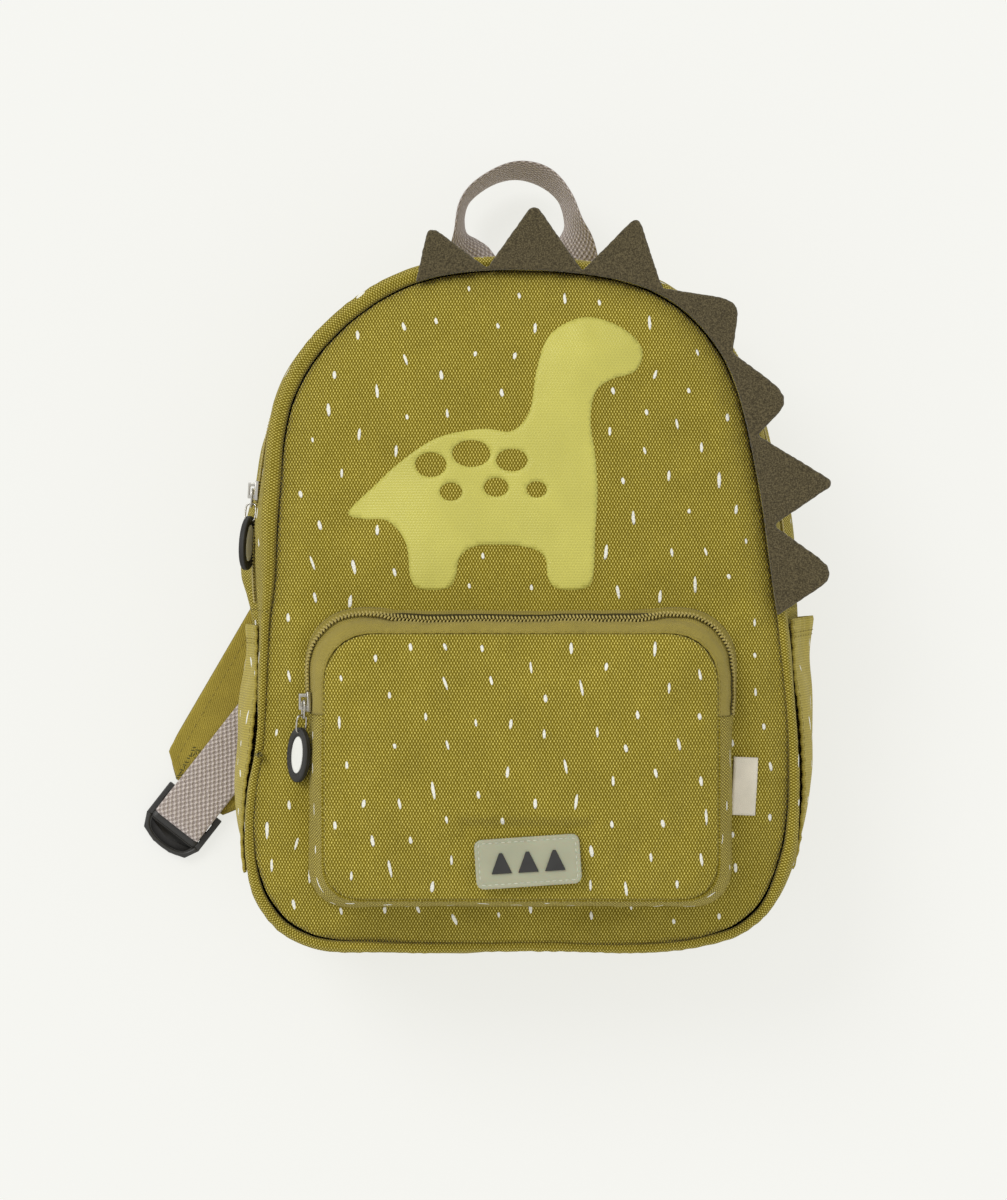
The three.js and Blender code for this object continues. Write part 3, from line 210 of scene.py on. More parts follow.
def means(points, a, b):
    """The mean of each point's neighbours over the edges between a and b."""
    a, b = np.concatenate([a, b]), np.concatenate([b, a])
    count = np.maximum(np.bincount(a, minlength=len(points)), 1)
    return np.column_stack([np.bincount(a, column[b], len(points)) / count for column in points.T])


def fetched(items, key, width, kind=float):
    """One property of mesh elements as an array, a row for each."""
    out = np.zeros(len(items) * width, kind)
    items.foreach_get(key, out)
    return out.reshape(-1, width)


def grid_faces(rows, columns):
    """Quads of a grid of points, stored row by row."""
    r, c = pairs(np.arange(rows - 1), np.arange(columns - 1)).T
    first = r * columns + c
    return np.column_stack([first, first + columns, first + columns + 1, first + 1])


def put(name, data):
    """A new object in the scene."""
    made = bpy.data.objects.new(name, data)
    bpy.context.scene.collection.objects.link(made)
    return made


def settle(piece, slot, *nodes):
    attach(piece, "root")
    if nodes:
        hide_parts(*nodes)
    return piece


class Piece:
    """Collects the parts of one mesh, each with its own material and cloth coordinates."""

    def __init__(self):
        self.points, self.faces, self.uvs, self.kinds = [], [], [], []
        self.count = 0

    def more(self, faces, kind, start):
        """Faces between points that the piece already has, counted from start."""
        self.faces.extend((np.asarray(faces) + start).tolist())
        self.kinds.extend(np.broadcast_to(kind, len(faces)).tolist())

    def add(self, points, faces, uv=None, kind=0):
        start = self.count
        self.points.append(np.asarray(points, float))
        self.uvs.append(np.zeros((len(points), 2)) if uv is None else np.asarray(uv, float))
        self.count += len(points)
        self.more(faces, kind, start)
        return start

    def slab(self, top, low, faces, uv, kind=0, closed=True):
        """Faces on the top points, the same on the low ones if it is closed, and the rim."""
        count = len(top)
        start = self.add(np.vstack([top, low]), faces, np.vstack([uv, uv]), kind)
        under = 0 if np.ndim(kind) else kind
        if closed:
            self.more(faces[:, ::-1] + count, under, start)
        self.more(rim_of(faces, count), under, start)

    def sheet(self, points, faces, thickness, uv, kind=0):
        """Cloth with a real thickness below its points."""
        self.slab(points, points - vertex_normals(points, faces) * thickness, faces, uv, kind)

    def make(self, name, materials, slot, *nodes):
        mesh = bpy.data.meshes.new(name)
        mesh.from_pydata(np.vstack(self.points).tolist(), [], self.faces)
        layer = mesh.uv_layers.new(name="cloth")
        at = fetched(mesh.loops, "vertex_index", 1, np.int64)[:, 0]
        layer.data.foreach_set("uv", np.vstack(self.uvs)[at].astype(np.float32).ravel())
        for material in materials:
            mesh.materials.append(material)
        mesh.polygons.foreach_set("material_index", np.array(self.kinds, np.int32))
        mesh.polygons.foreach_set("use_smooth", np.full(len(mesh.polygons), True))
        mesh.update()
        mesh.validate(clean_customdata=False)
        return settle(put(name, mesh), slot, *nodes)


# Reading the CAD nodes
SKY = 1.0
WIDEST = 0.3
OUTLINE_RAYS = 480


def arrays_of(node):
    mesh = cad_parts[node].data
    return fetched(mesh.vertices, "co", 3), [list(p.vertices) for p in mesh.polygons]


def tree_of(*nodes):
    points, faces = [], []
    for node in nodes:
        more, polygons = arrays_of(node)
        faces.extend([[i + len(points) for i in p] for p in polygons])
        points.extend(more.tolist())
    return BVHTree.FromPolygons(points, faces)


def middle_of(node):
    low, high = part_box(node)
    return (low + high) / 2


def top_at(tree, x, y, z=SKY):
    """Where a ray down from a height meets the tree, and the normal there."""
    return tree.ray_cast(Vector((x, y, z)), DOWN)[:2]


def offset_in(tree, place, way, z, start=0.06, span=0.09):
    """How far out along a level way the tree's surface lies, seen from outside; or None."""
    place, way = Vector((*place, z)), Vector((*way, 0))
    hit = tree.ray_cast(place + way * start, -way, span)[0]
    return None if hit is None else (hit - place).dot(way)


def outline_from_above(node, step, blur):
    """A node's outer outline, as seen from above."""
    tree, centre, loop = tree_of(node), middle_of(node), []
    for k in range(OUTLINE_RAYS):
        turn = TURN * k / OUTLINE_RAYS
        way = Vector((math.cos(turn), math.sin(turn), 0))
        near, far = 0.0, WIDEST
        for _ in range(15):
            half = (near + far) / 2
            spot = centre + way * half
            if top_at(tree, spot.x, spot.y)[0] is None:
                far = half
            else:
                near = half
        spot = centre + way * near
        loop.append((spot.x, spot.y))
    return smooth_rows(resample(loop, step), blur)


def heights(tree, flat):
    """How high the tree's surface lies over each flat point; nearest surface beyond its edge."""
    out = np.zeros(len(flat))
    for i, (x, y) in enumerate(flat):
        hit = top_at(tree, x, y)[0]
        out[i] = (tree.find_nearest(Vector((x, y, 0.2)))[0] if hit is None else hit).z
    return out


def rings_of(node, corners):
    """The cross-sections of a lofted node, end to end, each with its corners in the same order."""
    points, faces = arrays_of(node)
    keys, same = {}, []
    for point in points:
        same.append(keys.setdefault(tuple(np.round(point / (0.02 * MM)).astype(int)), len(keys)))
    places = np.zeros((len(keys), 3))
    places[same] = points
    triangles = [tuple(same[i] for i in face) for face in faces]
    near, by_edge = {i: set() for i in range(len(places))}, {}
    for t, (a, b, c) in enumerate(triangles):
        for i, j in ((a, b), (b, c), (c, a)):
            near[i].add(j)
            near[j].add(i)
            by_edge.setdefault(frozenset((i, j)), []).append(t)
    flat = unit(np.array([np.cross(places[b] - places[a], places[c] - places[a]) for a, b, c in triangles]))

    def flood(first):
        group, edge = {first}, [first]
        while edge:
            a, b, c = triangles[edge.pop()]
            for pair in ((a, b), (b, c), (c, a)):
                for other in by_edge[frozenset(pair)]:
                    if other not in group and flat[first] @ flat[other] > 0.9999:
                        group.add(other)
                        edge.append(other)
        return {i for t in group for i in triangles[t]}

    def walk(start):
        seen, layer, layers = set(start), set(start), []
        while layer:
            layers.append(sorted(layer))
            layer = {j for i in layer for j in near[i]} - seen
            seen |= layer
        return layers

    for t in range(len(triangles)):
        cap = flood(t)
        if len(cap) == corners:
            layers = walk(cap)
            if all(len(layer) == corners for layer in layers):
                break
    rings = []
    for layer in layers:
        ring = places[layer]
        spread = ring - ring.mean(0)
        across, up = np.linalg.svd(spread)[2][:2]
        ring = ring[np.argsort(np.arctan2(spread @ up, spread @ across))]
        if rings:
            before = rings[-1] - rings[-1].mean(0)
            turned = [np.roll(way, k, axis=0) for way in (ring, ring[::-1]) for k in range(corners)]
            ring = min(turned, key=lambda r: np.sum((r - r.mean(0) - before) ** 2))
        rings.append(ring)
    return np.array(rings)


# Cloth and colour
def srgb(*values):
    """Linear colour from 0-255 screen values."""
    shares = [value / 255 for value in values]
    return (*(c / 12.92 if c <= 0.04045 else ((c + 0.055) / 1.055) ** 2.4 for c in shares), 1.0)


class Shader:
    """A node material, with short calls for the nodes that it needs."""

    def __init__(self, name, roughness, **inputs):
        self.material = bpy.data.materials.new(name)
        self.material.use_nodes = True
        self.tree = self.material.node_tree
        self.surface = self.tree.nodes["Principled BSDF"]
        for key, value in {"Roughness": roughness, **inputs}.items():
            self.surface.inputs[key.replace("_", " ")].default_value = value

    def put(self, socket, value):
        if isinstance(value, bpy.types.NodeSocket):
            self.tree.links.new(value, socket)
        else:
            socket.default_value = value

    def node(self, kind, settings=None, **inputs):
        node = self.tree.nodes.new(kind)
        for key, value in (settings or {}).items():
            setattr(node, key, value)
        for key, value in inputs.items():
            self.put(node.inputs[key.replace("_", " ")], value)
        return node

    def math(self, operation, *values):
        node = self.node("ShaderNodeMath", {"operation": operation})
        for socket, value in zip(node.inputs, values):
            self.put(socket, value)
        return node.outputs[0]

    def times(self, a, b):
        return self.math("MULTIPLY", a, b)

    def plus(self, a, b):
        return self.math("ADD", a, b)

    def cloth(self):
        """Cloth coordinates in millimetres: along, across, and both as a vector."""
        node = self.node("ShaderNodeUVMap", {"uv_map": "cloth"})
        parts = self.node("ShaderNodeSeparateXYZ", Vector=node.outputs[0]).outputs
        u, v = (self.times(part, 1000.0) for part in parts[:2])
        return u, v, self.vector(u, v)

    def vector(self, x, y, z=0.0):
        return self.node("ShaderNodeCombineXYZ", X=x, Y=y, Z=z).outputs[0]

    def place(self):
        """The object's own coordinates, in metres."""
        return self.node("ShaderNodeTexCoord").outputs["Object"]

    def noise(self, vector, scale, detail=3.0, roughness=0.5):
        node = self.node("ShaderNodeTexNoise", Vector=vector, Scale=scale, Detail=detail, Roughness=roughness)
        return node.outputs["Fac"]

    def span(self, value, low, high, to_low=0.0, to_high=1.0):
        ends = {"From_Min": low, "From_Max": high, "To_Min": to_low, "To_Max": to_high}
        return self.node("ShaderNodeMapRange", {"interpolation_type": "SMOOTHSTEP"}, Value=value, **ends).outputs[0]

    def mix(self, share, a, b, way="MIX"):
        node = self.node("ShaderNodeMix", {"data_type": "RGBA", "blend_type": way})
        for key, value in (("Factor_Float", share), ("A_Color", a), ("B_Color", b)):
            self.put(next(i for i in node.inputs if i.identifier == key), value)
        return next(o for o in node.outputs if o.identifier == "Result_Color")

    def tone(self, colour, value, low, high):
        """The colour times a grey that follows a value from 0 to 1."""
        grey = self.span(value, 0.25, 0.75, low, high)
        return self.mix(1.0, colour, self.vector(grey, grey, grey), "MULTIPLY")

    def finish(self, colour, height=None, depth=0.1 * MM, strength=1.0, roughness=None):
        self.put(self.surface.inputs["Base Color"], colour)
        if roughness is not None:
            self.put(self.surface.inputs["Roughness"], roughness)
        if height is not None:
            bump = self.node("ShaderNodeBump", Height=height, Distance=depth, Strength=strength)
            self.put(self.surface.inputs["Normal"], bump.outputs[0])
        return self.material


# Weave: the lattice of light thread floats in the canvas, in millimetres
FLOAT_ALONG = 1.36
FLOAT_ACROSS = 2.42
INK_ROWS = 1.21


def floats(s, along=FLOAT_ALONG, across=FLOAT_ACROSS, wobble=0.3):
    """One on each thread float and zero between; the cloth coordinates; and the second of them."""
    u, v, at = s.cloth()
    stray = s.times(s.math("SUBTRACT", s.noise(at, 0.45, 2.0), 0.5), wobble * 2)
    a, b = (s.math("COSINE", s.times(s.plus(x, stray), TURN / pitch)) for x, pitch in ((u, along), (v, across)))
    return s.times(a, b), at, v


def canvas(name, dark, light):
    s = Shader(name, 0.92, Specular_IOR_Level=0.12, Sheen_Weight=0.08)
    wave, at, _ = floats(s)
    fleck = s.span(s.noise(at, 1.6, 2.0), 0.3, 0.7, 0.62, 1.0)
    colour = s.mix(s.times(s.span(wave, -0.1, 0.8), fleck), srgb(*dark), srgb(*light))
    colour = s.tone(colour, s.noise(at, 0.045, 3.0), 0.94, 1.06)
    colour = s.tone(colour, s.noise(at, 0.9, 1.0), 0.93, 1.07)
    return s.finish(colour, s.plus(wave, s.times(s.noise(at, 2.2, 2.0), 0.8)), 0.24 * MM, 0.9)


def ink(name, colour, shine, weave=0.5, spread=0.05):
    """A film of print over the canvas, through which the weave shows."""
    s = Shader(name, shine, Specular_IOR_Level=0.4)
    wave, at, v = floats(s)
    tinted = s.tone(srgb(*colour), s.noise(at, 0.035, 3.0), 1 - spread, 1 + spread)
    tinted = s.tone(tinted, s.span(wave, -1.0, 1.0), 0.955, 1.03)
    rows = s.math("SINE", s.times(v, TURN / INK_ROWS))
    return s.finish(tinted, s.plus(wave, s.times(rows, 0.5)), 0.16 * MM, weave)


def twill(name, colour, pitch=0.8, slope=1.0, depth=0.12 * MM):
    """A finer cloth with slanting lines."""
    s = Shader(name, 0.88, Specular_IOR_Level=0.15, Sheen_Weight=0.08)
    u, v, at = s.cloth()
    lines = s.math("SINE", s.times(s.plus(u, s.times(v, slope)), TURN / pitch))
    tinted = s.tone(srgb(*colour), s.span(lines, -1.0, 1.0), 0.88, 1.1)
    tinted = s.tone(tinted, s.noise(at, 0.08, 3.0), 0.93, 1.07)
    return s.finish(tinted, s.plus(lines, s.noise(at, 3.0, 2.0)), depth, 0.8)


def webbing_cloth():
    """Coarse webbing: staggered bumps of pale thread with darker gaps."""
    s = Shader("webbing", 0.7, Specular_IOR_Level=0.25, Sheen_Weight=0.1)
    wave, at, _ = floats(s, 3.3, 2.5, 0.5)
    mixed = s.mix(s.span(wave, -0.3, 0.55), srgb(164, 151, 145), srgb(216, 205, 199))
    mixed = s.tone(mixed, s.noise(at, 0.8, 3.0), 0.9, 1.06)
    return s.finish(mixed, s.plus(wave, s.times(s.noise(at, 1.6, 3.0), 0.6)), 0.4 * MM, 0.9)


def felt_cloth():
    """Pressed wool with stray light fibres in all directions."""
    s = Shader("felt", 1.0, Specular_IOR_Level=0.08, Sheen_Weight=0.25, Sheen_Roughness=0.6)
    at = s.place()
    colour = s.mix(s.span(s.noise(at, 1500.0, 5.0, 0.65), 0.35, 0.7), srgb(54, 46, 26), srgb(108, 97, 68))
    for turn, strength in ((25, 0.35), (100, 0.3), (155, 0.3)):
        turned = s.node(
            "ShaderNodeMapping", Vector=at, Rotation=(0, 0, math.radians(turn)), Scale=(3400, 520, 1700)
        )
        fibre = s.span(s.noise(turned.outputs[0], 1.0, 2.0, 0.6), 0.64, 0.78, 0.0, strength)
        colour = s.mix(fibre, colour, srgb(150, 138, 112))
    return s.finish(colour, s.noise(at, 900.0, 6.0, 0.75), 0.5 * MM, 0.8)


def plain(name, colour, roughness, spread=0.04, **inputs):
    """Moulded plastic, rubber or metal with a fine grain."""
    s = Shader(name, roughness, **inputs)
    at = s.place()
    tinted = s.tone(srgb(*colour), s.noise(at, 60.0, 3.0), 1 - spread, 1 + spread)
    rough = s.span(s.noise(at, 140.0, 3.0), 0.3, 0.7, roughness * 0.85, min(roughness * 1.15, 1.0))
    return s.finish(tinted, s.noise(at, 900.0, 3.0), 0.02 * MM, 0.6, rough)


def thread_cloth(name, colour):
    s = Shader(name, 0.8, Specular_IOR_Level=0.2)
    at = s.place()
    tinted = s.tone(srgb(*colour), s.noise(at, 700.0, 2.0), 0.85, 1.12)
    return s.finish(tinted, s.noise(at, 2500.0, 2.0), 0.05 * MM)


CANVAS = canvas("canvas", (122, 106, 16), (232, 216, 112))
SIDE_CANVAS = canvas("side_canvas", (126, 110, 22), (230, 214, 114))
POCKET_CLOTH = twill("side_pocket_cloth", (176, 160, 76), 1.15, 0.0)
BACK_CLOTH = twill("back_cloth", (156, 140, 66), 1.2, 1.0)
FACING = twill("facing", (160, 144, 66), 0.9, 0.6)
TAPE = twill("zip_tape", (150, 135, 60), 1.1, 0.0)
COIL = plain("zip_coil", (178, 162, 92), 0.45, spread=0.1)
# Painted shade: dark colour for the pocket zip's tape rows beside the coil, in place of the shadow there
COIL_PAINTED_SHADE = twill("coil_painted_shade", (62, 54, 20), 0.8, 0.0)
INK = ink("print_ink", (200, 193, 92), 0.36)
WHITE_INK = ink("dash_ink", (240, 238, 226), 0.7, 0.6, 0.02)
FELT = felt_cloth()
WEBBING = webbing_cloth()
BLACK_PLASTIC = plain("black_plastic", (46, 45, 43), 0.42)
# Painted shade: near-black colour for a thin plate that darkens the adjusters' recesses in place of their shadow
HOLLOW_PAINTED_SHADE = plain("hollow_painted_shade", (24, 22, 20), 0.6)
BLACK_RUBBER = plain("black_rubber", (44, 43, 41), 0.6)
PALE_INSET = plain("pale_inset", (238, 238, 232), 0.4, spread=0.01)
METAL = plain("nickel", (196, 193, 186), 0.24, Metallic=1.0)
PATCH = plain("patch_rubber", (168, 168, 141), 0.38, 0.06, Subsurface_Weight=0.15, Subsurface_Scale=0.002)
LABEL = twill("label_tape", (238, 230, 212), 0.5, 1.0, 0.05 * MM)
STRAP_CLOTH = twill("strap_cloth", (166, 148, 62), 1.35, 1.0, 0.16 * MM)
PIPING = twill("piping", (140, 124, 50), 1.1, 0.6)
THREAD = thread_cloth("thread", (150, 135, 66))
DARK_THREAD = thread_cloth("dark_thread", (92, 88, 48))
PALE_THREAD = thread_cloth("pale_thread", (205, 205, 186))

# Camera, light and floor
CAMERA_HEIGHT = 1.6988
CAMERA_ASIDE = Vector((-7.9, 3.2, 0)) * MM
FOCAL_SHARE = 3563.5 / 1200
SENSOR = 24.0
SUNS = (("key", 1.1, 28, (-0.75, 0.8, 1.25)), ("fill", 0.2, 80, (0.5, -0.4, 1.2)))
FLOOR_RADIUS = 3
FLOOR_SIDES = 48


def set_camera():
    camera = bpy.data.cameras.new("camera")
    camera.sensor_fit = "VERTICAL"
    camera.sensor_height = SENSOR
    camera.lens = FOCAL_SHARE * SENSOR
    holder = put("camera", camera)
    front = middle_of("front_panel")
    holder.location = Vector((front.x, front.y, CAMERA_HEIGHT)) + CAMERA_ASIDE
    bpy.context.scene.camera = holder


def set_stage():
    glow = {"Emission_Color": (0.913, 0.913, 0.868, 1.0), "Emission_Strength": 0.79}
    paper = Shader("floor", 1.0, Specular_IOR_Level=0.0, **glow)
    mesh = bpy.data.meshes.new("floor")
    turns = [k * TURN / FLOOR_SIDES for k in range(FLOOR_SIDES)]
    ring = [(FLOOR_RADIUS * math.cos(turn), FLOOR_RADIUS * math.sin(turn), 0.0) for turn in turns]
    mesh.from_pydata(ring, [], [list(range(FLOOR_SIDES))])
    mesh.materials.append(paper.finish((0.2, 0.2, 0.2, 1.0)))
    put("floor", mesh)

    world = bpy.data.worlds.new("sky")
    world.use_nodes = True
    world.node_tree.nodes["Background"].inputs["Color"].default_value = (1.0, 1.0, 0.985, 1.0)
    world.node_tree.nodes["Background"].inputs["Strength"].default_value = 0.7
    bpy.context.scene.world = world
    for name, strength, angle, way in SUNS:
        sun = bpy.data.lights.new(name, "SUN")
        sun.energy = strength
        sun.angle = math.radians(angle)
        put(name, sun).rotation_euler = Vector(way).to_track_quat("Z", "Y").to_euler()
    bpy.context.scene.view_settings.view_transform = "Standard"
    bpy.context.scene.view_settings.look = "None"


# Surfaces that strokes, print and stitches are laid on
class Rows:
    """A grid of points with cloth coordinates: u along the rows' stations, v down each."""

    def __init__(self, points):
        self.points = points
        steps = [np.linalg.norm(np.diff(points, axis=k), axis=2).mean(1 - k) for k in (0, 1)]
        self.u, self.v = (np.concatenate([[0.0], np.cumsum(step)]) for step in steps)
        faces, flat = grid_faces(*points.shape[:2]), points.reshape(-1, 3)
        normals = vertex_normals(flat, faces)
        turned = np.sum(normals * (flat - flat.mean(0))) < 0
        self.faces = faces[:, ::-1] if turned else faces
        self.normals = (-normals if turned else normals).reshape(points.shape)
        self.uv = pairs(self.u, self.v)

    def lift(self, height):
        """The same grid, moved along its normals by a height for each point."""
        return Rows(self.points + self.normals * height[..., None])

    def at(self, u, v):
        """Point and normal at a distance along the grid and one down it."""
        i, j = (float(np.interp(x, at, np.arange(len(at)))) for x, at in ((u, self.u), (v, self.v)))
        i0, j0 = min(int(i), len(self.u) - 2), min(int(j), len(self.v) - 2)
        s, t = i - i0, j - j0
        out = []
        for grid in (self.points, self.normals):
            low, high = (grid[i0, k] * (1 - s) + grid[i0 + 1, k] * s for k in (j0, j0 + 1))
            out.append(low * (1 - t) + high * t)
        return out

    def row(self, u=None, v=None):
        """Points and normals at one distance down the grid, or at one along it."""
        spots = [self.at(u, b) for b in self.v] if v is None else [self.at(a, v) for a in self.u]
        return [np.array(part) for part in zip(*spots)]

    def into(self, piece, thickness, kind=0):
        piece.sheet(self.points.reshape(-1, 3), self.faces, thickness, self.uv, kind)


class Draped:
    """A mesh seen from above: a flat place gives the point and normal on it."""

    def __init__(self, points, faces):
        self.tree = BVHTree.FromPolygons(points.tolist(), faces.tolist())

    def at(self, x, y):
        hit, normal = top_at(self.tree, x, y)
        if hit is None:
            hit, normal = self.tree.find_nearest(Vector((x, y, 0.12)))[:2]
        return np.array(hit), np.array(-normal if normal.z < 0 else normal)


def fill(loop, step, holes=()):
    """Even triangles that fill a closed loop and leave out its holes."""
    points, edges = [], []
    for ring in (loop, *holes):
        start = len(points)
        points.extend(map(tuple, ring))
        edges.extend((start + k, start + (k + 1) % len(ring)) for k in range(len(ring)))
    low, high = loop.min(0), loop.max(0)
    ys = np.arange(low[1], high[1], step * math.sqrt(3) / 2)
    gx, gy = np.meshgrid(np.arange(low[0], high[0], step), ys)
    gx = gx + (np.arange(len(ys)) % 2)[:, None] * step / 2
    grid = np.column_stack([gx.ravel(), gy.ravel()])
    grid = grid[within(grid, loop, holes)]
    tree = seam_tree(points)
    clear = [tree.find((x, y, 0))[2] > step * 0.6 for x, y in grid]
    points.extend(map(tuple, grid[np.array(clear, bool)]))
    made = delaunay_2d_cdt([Vector(p) for p in points], edges, [], 0, 1e-9)
    flat = np.array([v[:] for v in made[0]])
    faces = np.array([f for f in made[2] if len(f) == 3])
    return flat, faces[within(flat[faces].mean(1), loop, holes)]


def film(piece, surface, flat, faces, kind, lift, depth):
    """A thin layer of ink that follows a surface, with edges that go into the cloth."""
    spots, normals = (np.array(part) for part in zip(*[surface.at(a, b) for a, b in flat]))
    top = spots + normals * lift
    if np.sum(vertex_normals(top, faces) * normals) < 0:
        faces = faces[:, ::-1]
    piece.slab(top, top - normals * depth, faces, flat, kind, closed=False)


# Small strokes of white ink, in millimetres
STROKE_LENGTHS = (2.6, 7.0)
STROKE_WIDTHS = (1.1, 1.75)
STROKE_SIDES = 12


def strokes(piece, surface, spots, kind, seed, turn=90.0, spread=8.0):
    """Short, uneven brush marks, each a small film of ink on the surface."""
    rng, count = random.Random(seed), STROKE_SIDES
    faces = [(0, 1 + k, 1 + (k + 1) % count) for k in range(count)]
    for k in range(count):
        n = (k + 1) % count
        faces += [(1 + k, 1 + count + k, 1 + count + n), (1 + k, 1 + count + n, 1 + n)]
    for spot in spots:
        half = rng.uniform(*STROKE_LENGTHS) * MM / 2 * (0.75 + 0.5 * rng.random() ** 2)
        wide = rng.uniform(*STROKE_WIDTHS) * MM / 2
        angle = math.radians(turn + rng.gauss(0, spread))
        lean = rng.uniform(-0.25, 0.25)
        rings = [(0.0, 0.0)]
        for size in (0.55, 1.0):
            for around in (TURN * k / count for k in range(count)):
                a = math.cos(around) * half * size
                b = math.sin(around) * wide * size * (1 + lean * math.cos(around)) * rng.uniform(0.86, 1.1)
                rings.append((a, b + 0.12 * wide * math.sin(a / half * 2.5)))
        c, s = math.cos(angle), math.sin(angle)
        flat = np.array(rings) @ [[c, s], [-s, c]] + spot
        film(piece, surface, flat, np.array(faces), kind, 0.09 * MM, 0.3 * MM)


def scatter(seed, box, apart, wanted, allowed=lambda spot: True):
    """Random places in a flat box, no two nearer than apart, that the test allows."""
    rng = random.Random(seed)
    out = []
    for _ in range(wanted * 60):
        spot = (rng.uniform(box[0], box[1]), rng.uniform(box[2], box[3]))
        if all((spot[0] - x) ** 2 + (spot[1] - y) ** 2 > apart * apart for x, y in out) and allowed(spot):
            out.append(spot)
            if len(out) == wanted:
                break
    return out


def scatter_over(seed, loop, margin, apart, wanted, others):
    """Random places well inside a loop and outside others."""
    edge = seam_tree(loop)
    (x0, y0), (x1, y1) = loop.min(0), loop.max(0)

    def allowed(spot):
        return edge.find((*spot, 0))[2] >= margin and within(np.array([spot]), loop, others)[0]

    return scatter(seed, (x0, x1, y0, y1), apart, wanted, allowed)


def dashes(piece, surface, margins, apart, wanted, seeds, spread):
    """Strokes of the piece's second material over a grid; margins and distance in millimetres."""
    left, right, top, foot = (margin * MM for margin in margins)
    spots = scatter(seeds[0], (left, surface.u[-1] - right, top, surface.v[-1] - foot), apart * MM, wanted)
    strokes(piece, surface, spots, 1, seeds[1], 0.0, spread)


# Repeated small solids: stitches, zip teeth
def bead(around=6, along=4):
    """A unit ball as points and triangles, long way on X."""
    points = [(-1.0, 0.0, 0.0)]
    for i in range(1, along):
        turn = math.pi * i / along
        for side in (TURN * k / around for k in range(around)):
            points.append((-math.cos(turn), math.sin(turn) * math.cos(side), math.sin(turn) * math.sin(side)))
    points.append((1.0, 0.0, 0.0))
    faces, last = [], len(points) - 1
    for k in range(around):
        n = (k + 1) % around
        faces += [(0, 1 + n, 1 + k), (last, last - around + k, last - around + n)]
        for a in range(1, 1 + (along - 2) * around, around):
            faces += [(a + k, a + n, a + around + n), (a + k, a + around + n, a + around + k)]
    return np.array(points), np.array(faces)


BEAD_POINTS, BEAD_FACES = bead()


def beads(piece, places, ways, normals, size, kind=0):
    """A ball stretched along each way, one at each place; half sizes in millimetres."""
    for place, way, normal in zip(places, ways, normals):
        way = way / np.linalg.norm(way)
        side = np.cross(normal, way)
        side /= max(np.linalg.norm(side), 1e-9)
        axes = np.array([way, side, np.cross(way, side)]) * np.array(size)[:, None] * MM
        piece.add(place + BEAD_POINTS @ axes, BEAD_FACES, None, kind)


def stitches(piece, path, normals, kind, size=(2.3, 1.0, 0.5), closed=False):
    """Thread stitches along a path that lies on cloth; length, gap and width in millimetres."""
    length, gap, width = (value * MM for value in size)
    at = lengths_along(path, closed)
    if closed:
        path, normals = closing(path), closing(normals)
    marks = np.arange(length, at[-1] - length / 2, length + gap)
    where, up = read(marks, at, path), read(marks, at, normals)
    ahead = read(marks + length / 3, at, path) - where
    beads(piece, where + up * width * 0.12, ahead, up, (size[0] / 2, size[2] / 2, size[2] * 0.42), kind)


def teeth(piece, path, normals, pitch, shift, aside, rise, size, kind, slant=0.0):
    """Two rows of coil teeth along a path; lengths in millimetres."""
    at = lengths_along(path)
    for side in (-1, 1):
        marks = np.arange(MM, at[-1] - MM, pitch * MM) + side * shift * MM
        where, up = read(marks, at, path), read(marks, at, normals)
        ahead = read(marks + MM, at, path) - where
        across = unit(np.cross(up, ahead))
        ways = unit(across + slant * unit(ahead) * side)
        beads(piece, where + across * side * aside * MM + up * rise * MM, ways, up, size, kind)


# Closed forms from loops laid one after another
def stack(piece, loops, kind=0, uv=None):
    """Joins closed loops of equal length and closes both ends with a fan."""
    loops = np.asarray(loops)
    rows, columns = loops.shape[:2]
    points = np.vstack([loops.reshape(-1, 3), loops[0].mean(0), loops[-1].mean(0)])
    first, last, end = rows * columns, rows * columns + 1, (rows - 1) * columns
    faces = []
    for start in range(0, end, columns):
        for c in range(columns):
            a, b = start + c, start + (c + 1) % columns
            faces += [(a, b, b + columns), (a, b + columns, a + columns)]
    for c in range(columns):
        n = (c + 1) % columns
        faces += [(first, n, c), (last, end + c, end + n)]
    faces = np.array(faces)
    a, b, c = (points[faces[:, k]] for k in range(3))
    if np.sum(np.cross(b - a, c - a) * (a - points.mean(0))) < 0:
        faces = faces[:, ::-1]
    along = lengths_along(loops.mean(1))
    if uv is None:
        uv = pairs(along, lengths_along(loops[rows // 2], True)[:-1])
    piece.add(points, faces, np.vstack([uv, [[0, 0], [along[-1], 0]]]), kind)


def tube(piece, path, radius, kind=0, sides=8):
    """A round cord along an open path."""
    path = np.asarray(path, float)
    ways = unit(np.gradient(path, axis=0))
    side = np.cross(ways[0], [0.13, 0.21, 0.97])
    loops = []
    for place, way in zip(path, ways):
        side = side - way * (side @ way)
        side /= np.linalg.norm(side)
        other = np.cross(way, side)
        turns = [TURN * k / sides for k in range(sides)]
        loops.append([place + (side * math.cos(a) + other * math.sin(a)) * radius for a in turns])
    stack(piece, loops, kind)


# The shell round the bag: the rolled front edge, the side, and the turn to the back
STATION = 1.6 * MM
CLOTH_THICKNESS = 1.6 * MM
ROLL_CORE = 1.7 * MM
LIP = 0.9 * MM
FAN = np.radians(np.arange(205, 1, -12))
FAN_ROWS, FRONT_ROWS, ZIP_ROWS, BACK_ROWS = len(FAN), 14, 7, 28
ZIP_FROM = FAN_ROWS + FRONT_ROWS - 1
ZIP_TO = ZIP_FROM + ZIP_ROWS + 1
TUCKS = ((0.7, 0.25), (2.2, 0.45), (5.0, 0.5))  # how far in and down the last rows lie, in mm
SHELL_NODES = ("side_wall_upper_front", "side_wall_upper_back", "side_wall_lower")


